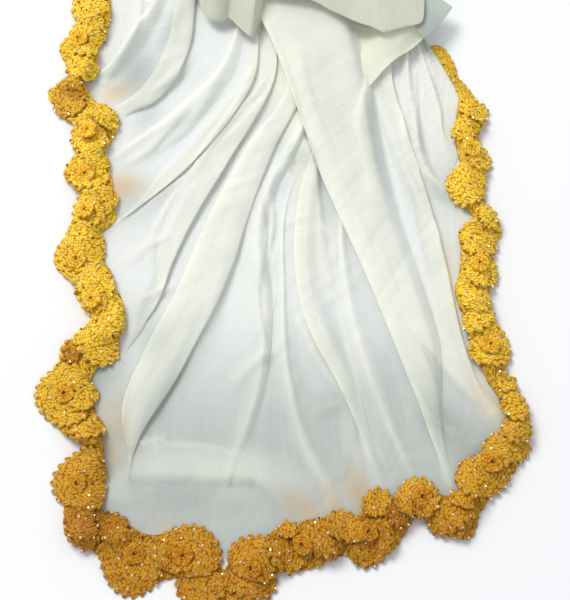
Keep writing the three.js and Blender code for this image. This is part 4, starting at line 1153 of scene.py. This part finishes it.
# the rose's yarn, with a painted highlight on its stitches and painted shade in its gaps
ROSE_YARN = crochet("saffron_rose", (1.0, 0.76, 0.10, 1), (0.92, 0.50, 0.016, 1), (0.64, 0.23, 0.008, 1))
rose_stretches = [stretch for stretch, how_many in ROSE_HOMES for _ in range(how_many)]
for number, home in enumerate(rose_stretches, start=1):
    node_name = f"rose_{number:02d}"
    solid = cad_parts[node_name]
    solid_points = np.array([v.co for v in solid.data.vertices]) * 1000
    centre = solid_points.mean(axis=0)
    _, _, axes = np.linalg.svd(solid_points - centre)
    normal = axes[2] if axes[2][2] > 0 else -axes[2]
    side = np.cross(normal, (0, 1, 0))
    side /= np.linalg.norm(side)
    other = np.cross(normal, side)
    bottom = ((solid_points - centre) @ normal).min()
    laid = centre + np.array([MIDDLE[0], MIDDLE[1], 0])
    rise = float(height_under(laid[None, :2])[0]) - (laid[2] + bottom)
    bottom = bottom + np.clip(rise, 0, ROSE_MOST_RAISED)
    steps_round = int(ROSE_STEPS * ROSE_TURNS)
    rim = STRAND_RIM
    ring_points = []
    for i in range(steps_round + 1):
        share = i / steps_round
        angle = math.tau * ROSE_TURNS * share + number
        r = mix(1.1, ROSE_RADIUS - 2.0, share**0.9) + 0.5 * math.sin(5 * angle + number)
        high = mix(3.0, 2.0, share) + 0.5 * math.sin(7 * angle)
        ray = side * math.cos(angle) + other * math.sin(angle)
        core = centre + ray * r + normal * (bottom + high)
        slim = min(1, 0.5 + 0.1 * i, 0.2 + 0.4 * (steps_round - i))
        for k in range(rim):
            turn = math.tau * k / rim
            wide, tall = STRAND_HALF_WIDE * math.cos(turn), STRAND_HALF_TALL * math.sin(turn)
            ring_points.append(core + slim * (ray * wide + normal * tall))
    grid = np.array(ring_points).reshape(steps_round + 1, rim, 3) / 1000
    rose = grid_mesh(f"{node_name}_wound", grid, closed=True)
    turns = np.repeat(np.arange(steps_round + 1), rim)
    note(rose, "stitch_u", turns * 0.42 + number)
    note(rose, "stitch_v", np.tile(np.arange(rim) / rim * 2.0, steps_round + 1) + number)
    note(rose, "shade", np.ones(len(turns)))
    rose.data.materials.append(ROSE_YARN)
    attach(rose, "root")
    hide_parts(node_name)
    edgings[home]["with"].append(rose)

# ======================================================================================================
# BUNCH
# The gathered end: the rest of the scarf's length turned over and over itself, with the folded edges of
# its turns showing in layers all round and soft pleats across its top.
# ======================================================================================================
BUNCH = {"x": 4, "y": 427, "half_x": 154, "half_y": 70, "tall": 43, "square": 3.2}
# columns: height share, size share
BUNCH_LAYERS = [
    (0.0, 0.96), (0.03, 0.995), (0.1, 1.01), (0.17, 0.99), (0.2, 0.935), (0.22, 0.92), (0.26, 0.97),
    (0.33, 0.99), (0.4, 0.97), (0.43, 0.90), (0.45, 0.885), (0.5, 0.935), (0.58, 0.945), (0.64, 0.91),
    (0.67, 0.845), (0.7, 0.85), (0.78, 0.885), (0.86, 0.85), (0.92, 0.78), (0.96, 0.68), (0.985, 0.55),
    (1.0, 0.4), (1.0, 0.25), (0.99, 0.1), (0.985, 0.0),
]


def bunch_outline(angle, size, layer):
    wobble = 1 + 0.03 * np.sin(3 * angle + layer) + 0.02 * np.sin(7 * angle + 2 * layer)
    c, s = np.cos(angle), np.sin(angle)
    square = BUNCH["square"]
    reach = size * wobble * (np.abs(c) ** square + np.abs(s) ** square) ** (-1 / square)
    return BUNCH["x"] + BUNCH["half_x"] * reach * c, BUNCH["y"] + BUNCH["half_y"] * reach * s


BUNCH_AROUND = 360  # points round each level
BUNCH_LEVELS = 110
BUNCH_PLEATS = 64  # pulled in round the heap
BUNCH_LOWEST = 0.3  # mm over the surface that it lies on

angles = np.linspace(0, math.tau, BUNCH_AROUND, endpoint=False)
pleat_turn = angles * BUNCH_PLEATS / math.tau
level_row = np.ones(BUNCH_AROUND)
heap = []
for share, size in spline(BUNCH_LAYERS, np.linspace(0, 1, BUNCH_LEVELS)):
    share, size = max(share, 0), max(size, 0)
    x, y = bunch_outline(angles, size, 4.5 * share)
    pleat = 1.7 * noise(pleat_turn, share * 5 * level_row, 31)
    pleat += 0.8 * noise(pleat_turn, share * 11 * level_row, 32)
    fade = min(1.0, size * 3)
    z = BUNCH["tall"] * share + 1.1 * pleat * fade * ease(0.05, 0.4, share)
    pull = 1 + 0.006 * noise(pleat_turn, share * 9 * level_row, 33) * fade
    pulled_x, pulled_y = mix(BUNCH["x"], x, pull), mix(BUNCH["y"], y, pull)
    heap.append(np.stack([pulled_x, pulled_y, z], axis=1))
heap = np.array(heap)
heap[..., 2] = np.maximum(heap[..., 2], BUNCH_LOWEST)
# pleats that run over the top of the heap from side to side
over_top = ease(0.35, 0.8, heap[..., 2] / BUNCH["tall"])
heap[..., 2] += over_top * 3.6 * noise(heap[..., 1] / 12 + heap[..., 0] / 60, heap[..., 0] / 80, 35)
heap[..., 2] += over_top * 1.5 * noise(heap[..., 1] / 5 + heap[..., 0] / 30, heap[..., 0] / 50, 36)
# painted shade: the bunch's cloth is painted a little darker than the spread cloth
IVORY_FOLDED = chiffon("folded_chiffon", 0.93, 0.97, 1.0, (0.93, 0.93, 0.92, 1))
bunch = grid_mesh("cloth_bunch_chiffon", at(heap), closed=True)
bunch.data.materials.append(IVORY_FOLDED)
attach(bunch, "root")
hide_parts("cloth_bunch")

# ======================================================================================================
# TURNS OVER THE GATHERED FOLDS
# Where the scarf comes out of the bunch: a long soft wrap to the right and small lobes to the left, both
# turned under at their front edge, with soft pleats that run back into the bunch.
# ======================================================================================================
# columns: x, front y, front z
WRAP_FRONT = [(-26, 353, 34), (0, 350, 34), (20, 347, 34), (37, 341, 32), (48, 334, 31), (60, 328, 31),
              (79, 318, 31), (95, 312, 31), (108, 305, 31), (113, 305, 31), (131, 310, 32),
              (149, 315, 33), (152, 319, 33), (154, 331, 34), (154, 346, 35)]
LOBES_FRONT = [(-98, 353, 24), (-95, 348, 20), (-92, 341, 18), (-88, 335, 16), (-83, 330, 15),
               (-74, 328, 15), (-68, 330, 15), (-64, 333, 16), (-56, 325, 17), (-47, 315, 17),
               (-39, 308, 17), (-36, 308, 16), (-33, 314, 14), (-30, 324, 13), (-27, 328, 14),
               (-26, 340, 16), (-26, 350, 20)]
# painted shade: the turns' cloth is painted greyer than the spread cloth
TURNED_SHADED = chiffon("turned_chiffon", 0.6, 0.93, 0.85, (0.82, 0.83, 0.775, 1))


def bunch_top(x, y):
    """The height of the bunch's nearest point."""
    near = np.hypot(heap[..., 0] - x, heap[..., 1] - y)
    return float(heap[..., 2].ravel()[near.argmin()])


TURN_COLUMNS = 150
TURN_ROWS = 60
LIP_ROWS = 14  # under the front edge
SEAT_SMOOTH = 13  # columns


def turn_over(name, node_name, front, back_y, crown, lip, pleats, seed):
    """A turn of cloth from the bunch's top to a front edge, with a lip that goes back under it."""
    shares = np.linspace(0, 1, TURN_COLUMNS)
    row = np.ones(TURN_COLUMNS)
    edge = spline(front, shares)
    back_x = mix(edge[:, 0], BUNCH["x"], 0.2)
    seat = np.array([bunch_top(x, back_y) for x in back_x]) + 1.2
    padded = np.pad(seat, SEAT_SMOOTH // 2, mode="edge")
    seat = np.convolve(padded, np.ones(SEAT_SMOOTH) / SEAT_SMOOTH, mode="valid")
    rows = []
    for s in np.linspace(0, 1, TURN_ROWS):
        x, y = mix(back_x, edge[:, 0], s), mix(back_y, edge[:, 1], s)
        z = mix(seat, edge[:, 2], s**1.6) + crown * math.sin(math.pi * s)
        pleat = np.sin(pleats * math.tau * (shares + 0.05 * np.sin(5 * shares)) + 1.5 * s)
        pleat = pleat + 0.6 * noise(shares * pleats * 2.3, s * 2.0 * row, seed)
        ripple = 0.4 * noise(shares * 40, s * 6.0 * row, seed + 1)
        z = z + pleat * 1.2 * math.sin(math.pi * min(s, 0.8)) + ripple
        rows.append(np.stack([x, y, z], axis=1))
    for s in np.linspace(0.15, 1, LIP_ROWS):
        bend = math.sin(math.pi * min(s * 2.2, 1)) if s < 0.45 else 0
        y = edge[:, 1] - 1.6 * bend + lip * ease(0.3, 1, s)
        z = edge[:, 2] - 3.0 * ease(0, 0.5, s) - 0.6 * s
        rows.append(np.stack([edge[:, 0], y, z], axis=1))
    piece = grid_mesh(name, at(np.array(rows)))
    piece.data.materials.append(TURNED_SHADED)
    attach(piece, "root")
    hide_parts(node_name)
    return piece


wrap = turn_over("cloth_wrap_chiffon", "cloth_wrap", WRAP_FRONT, 398, 5, 14, 3.2, 41)
lobes = turn_over("cloth_lobes_chiffon", "cloth_lobes", LOBES_FRONT, 388, 6, 9, 3.0, 43)

# ======================================================================================================
# SWAG AND CORNER
# A short swag of cloth beside the great lap and the single corner that lies out to its right, both
# coming from under the wrap's front edge.
# ======================================================================================================
# columns: x, lower y, lower z
SWAG = [(62, 226, 2), (74, 232, 4), (86, 240, 8), (98, 252, 13), (110, 266, 15), (124, 279, 16),
        (140, 290, 16), (157, 306, 17)]
# columns: x, upper y, lower y, z
CORNER = [(144, 344, 312, 27), (154, 350, 300, 27), (163, 351, 306, 27), (173, 348, 317, 26),
          (186, 339, 337, 25)]
# painted shadow: the corner's cloth is painted grey-green, and the swag's is painted a little darker than
# the spread cloth
SHADED_SHEER = chiffon("shaded_chiffon", 0.72, 0.85, 0.0, (0.58, 0.64, 0.60, 1))
SWAG_LOOK = chiffon("swag_chiffon", 0.6, 0.93, 0.85, (0.92, 0.92, 0.87, 1))
swag_line = spline(SWAG, np.linspace(0, 1, 60))
swag_x, low_y, low_z = swag_line.T
wrap_x, wrap_y, wrap_z = np.array(WRAP_FRONT, float).T
front_y, front_z = np.interp(swag_x, wrap_x, wrap_y), np.interp(swag_x, wrap_x, wrap_z)
# its upper edge is tucked under the great lap on the left and under the wrap's lip on the right
tucked_z = mix(6, front_z - 4.3, ease(84, 118, swag_x)) - 2.6 * ease(126, 140, swag_x)
swag_rows = []
for s in np.linspace(0, 1, 40):
    ripple = 1.3 * np.sin(np.pi * s) * np.sin(swag_x / 7 + 2.5 * s)
    z = mix(tucked_z, low_z, ease(0, 1, s)) + ripple
    swag_rows.append(np.stack([swag_x, mix(front_y + 8, low_y, s), z], axis=1))
swag = grid_mesh("cloth_swag_chiffon", at(np.array(swag_rows)))
swag.data.materials.append(SWAG_LOOK)
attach(swag, "root")
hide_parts("cloth_swag")

corner_x, upper_y, lower_y, corner_z = spline(CORNER, np.linspace(0, 1, 50)).T
corner_rows = []
for s in np.linspace(0, 1, 30):
    z = corner_z - 0.5 * s + 0.8 * np.sin(np.pi * s)
    corner_rows.append(np.stack([corner_x, mix(upper_y, lower_y, s), z], axis=1))
corner = grid_mesh("cloth_corner_chiffon", at(np.array(corner_rows)))
corner.data.materials.append(SHADED_SHEER)
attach(corner, "root")
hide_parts("cloth_corner")

# ======================================================================================================
# CROCHETED EDGING OF THE HIDDEN END
# The same saffron edging on the scarf's other end, which comes out round the foot of the bunch.
# ======================================================================================================
# start and end are shares of half a turn round the bunch, the rest are millimetres but for the waves
BACK = {"waves": 13, "ruffle": 9, "start": -0.12, "end": 1.08, "lift": 2.8, "gap": 0.7}
BACK_PARTS = ["back_right", "back_middle", "back_left"]
BACK_FANS = 6  # on each part
BACK_FAN_RADIUS = [17, 20, 16, 19]
BACK_FAN_OUT = 19  # mm from the bunch's foot to a fan's middle
for part, name in enumerate(BACK_PARTS):
    count = 190
    shares = np.linspace(part + 0.0008, part + 0.9992, count) / len(BACK_PARTS)
    turn = math.pi * mix(BACK["start"], BACK["end"], shares)
    x, y = bunch_outline(turn, 1.0, 0.5)
    out = np.stack([np.cos(turn) * BUNCH["half_y"], np.sin(turn) * BUNCH["half_x"]], axis=1)
    out /= np.linalg.norm(out, axis=1, keepdims=True)
    wave = np.sin(math.tau * BACK["waves"] * shares)
    reach = EDGING_DEEP - 12 + BACK["ruffle"] * wave
    arch = 9 - 6 * wave
    a = ACROSS_FINE[:, None]
    rim = np.stack([x, y], axis=1) + out * (EDGING_DEEP - 8)
    mile = 2000 + part * 400 + np.concatenate([[0], np.cumsum(np.linalg.norm(np.diff(rim, axis=0), axis=1))])
    reach = reach + picot_reach(mile)
    z = EDGING_HALF + BACK["lift"] * (1 - a) + arch * np.sin(np.pi * a**0.85)
    xy = np.stack([x, y], axis=1)[None] + out[None] * (BACK["gap"] + reach * a)[..., None]
    middle = np.concatenate([xy, z[..., None]], axis=2)
    patch, top = band_patch(middle, mile, ACROSS_FINE, 0.9)
    lay_down(top)
    piece = yarn_piece(f"edging_{name}_crochet", [patch])
    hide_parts(f"edging_{name}")
    patches, tops = [], [top]
    for k in range(BACK_FANS):
        i = int((k + 0.5) / BACK_FANS * count)
        number = part * BACK_FANS + k
        spot = np.array([x[i], y[i]]) + out[i] * BACK_FAN_OUT
        toward = math.degrees(math.atan2(out[i][1], out[i][0])) + 12 * math.sin(2.3 * number)
        fan, fan_top = fan_patch(*spot, BACK_FAN_RADIUS[number % 4], toward, 2, 0.96, 70 + number)
        patches.append(fan)
        tops.append(fan_top)
    fans = yarn_piece(f"fans_{name}", patches)
    stones = crystals_on(f"crystals_{name}", tops[::-1])
    edgings[name] = {"piece": piece, "with": [fans, stones], "length": mile[-1] - mile[0]}

# ======================================================================================================
# STAGE
# A plain pale floor, a large soft light high on the left and a pale surrounding light.
# ======================================================================================================
FLOOR_HALF = 4.0  # m
FLOOR_COLOUR = (0.84, 0.845, 0.855, 1)
floor_corners = [[(x, y, 0.0) for y in (-FLOOR_HALF, FLOOR_HALF)] for x in (-FLOOR_HALF, FLOOR_HALF)]
floor = grid_mesh("floor", np.array(floor_corners))
floor_look = material("pale_floor")
floor_face = node(floor_look.node_tree, "ShaderNodeBsdfDiffuse", {"Color": FLOOR_COLOUR})
node(floor_look.node_tree, "ShaderNodeOutputMaterial", {"Surface": floor_face.outputs[0]})
floor.data.materials.append(floor_look)

LAMP_PLACE = np.array([-2.7, 3.0, 5.4])  # m, aimed at the frame's origin
LAMP_WIDE = 3.3
LAMP_POWER = 345.0
soft_light = bpy.data.lights.new("soft_light", "AREA")
soft_light.shape = "DISK"
soft_light.size = LAMP_WIDE
soft_light.energy = LAMP_POWER
soft_light.color = (1.0, 0.99, 0.965)
lamp = bpy.data.objects.new("soft_light", soft_light)
lamp.location = LAMP_PLACE
lamp_tilt = math.acos(LAMP_PLACE[2] / np.linalg.norm(LAMP_PLACE))
lamp.rotation_euler = (lamp_tilt, 0, math.atan2(-LAMP_PLACE[1], -LAMP_PLACE[0]) - math.pi / 2)
scene = bpy.context.scene
scene.collection.objects.link(lamp)
world = bpy.data.worlds.new("surround")
world.use_nodes = True
surround = world.node_tree.nodes["Background"]
surround.inputs["Color"].default_value = (0.93, 0.96, 1.0, 1)
surround.inputs["Strength"].default_value = 0.64
scene.world = world
scene.view_settings.view_transform = "Standard"
scene.view_settings.look = "None"
scene.cycles.max_bounces = 10
scene.cycles.transparent_max_bounces = 16
scene.cycles.diffuse_bounces = 6
scene.cycles.use_denoising = True

# ======================================================================================================
# CAMERA
# Nearly straight down, 1.5 m away, at the spread end.
# ======================================================================================================
CAMERA_TILT = 70  # degrees over the surface
CAMERA_AWAY = 1.5  # m
IMAGE_WIDE = 570  # pixels
FOCAL_PIXELS = 1430  # the lens's focal length on the same scale
SENSOR_WIDE = 36  # mm
camera_data = bpy.data.cameras.new("camera")
camera = bpy.data.objects.new("camera", camera_data)
scene.collection.objects.link(camera)
tilt = math.radians(CAMERA_TILT)
aim_x, aim_y = -MIDDLE[0] / 1000, -MIDDLE[1] / 1000
camera.location = (aim_x, aim_y - CAMERA_AWAY * math.cos(tilt), CAMERA_AWAY * math.sin(tilt))
camera.rotation_euler = (math.pi / 2 - tilt, 0, 0)
camera_data.sensor_fit = "HORIZONTAL"
camera_data.sensor_width = SENSOR_WIDE
camera_data.lens = SENSOR_WIDE * FOCAL_PIXELS / IMAGE_WIDE
camera_data.clip_start = 0.05
scene.camera = camera
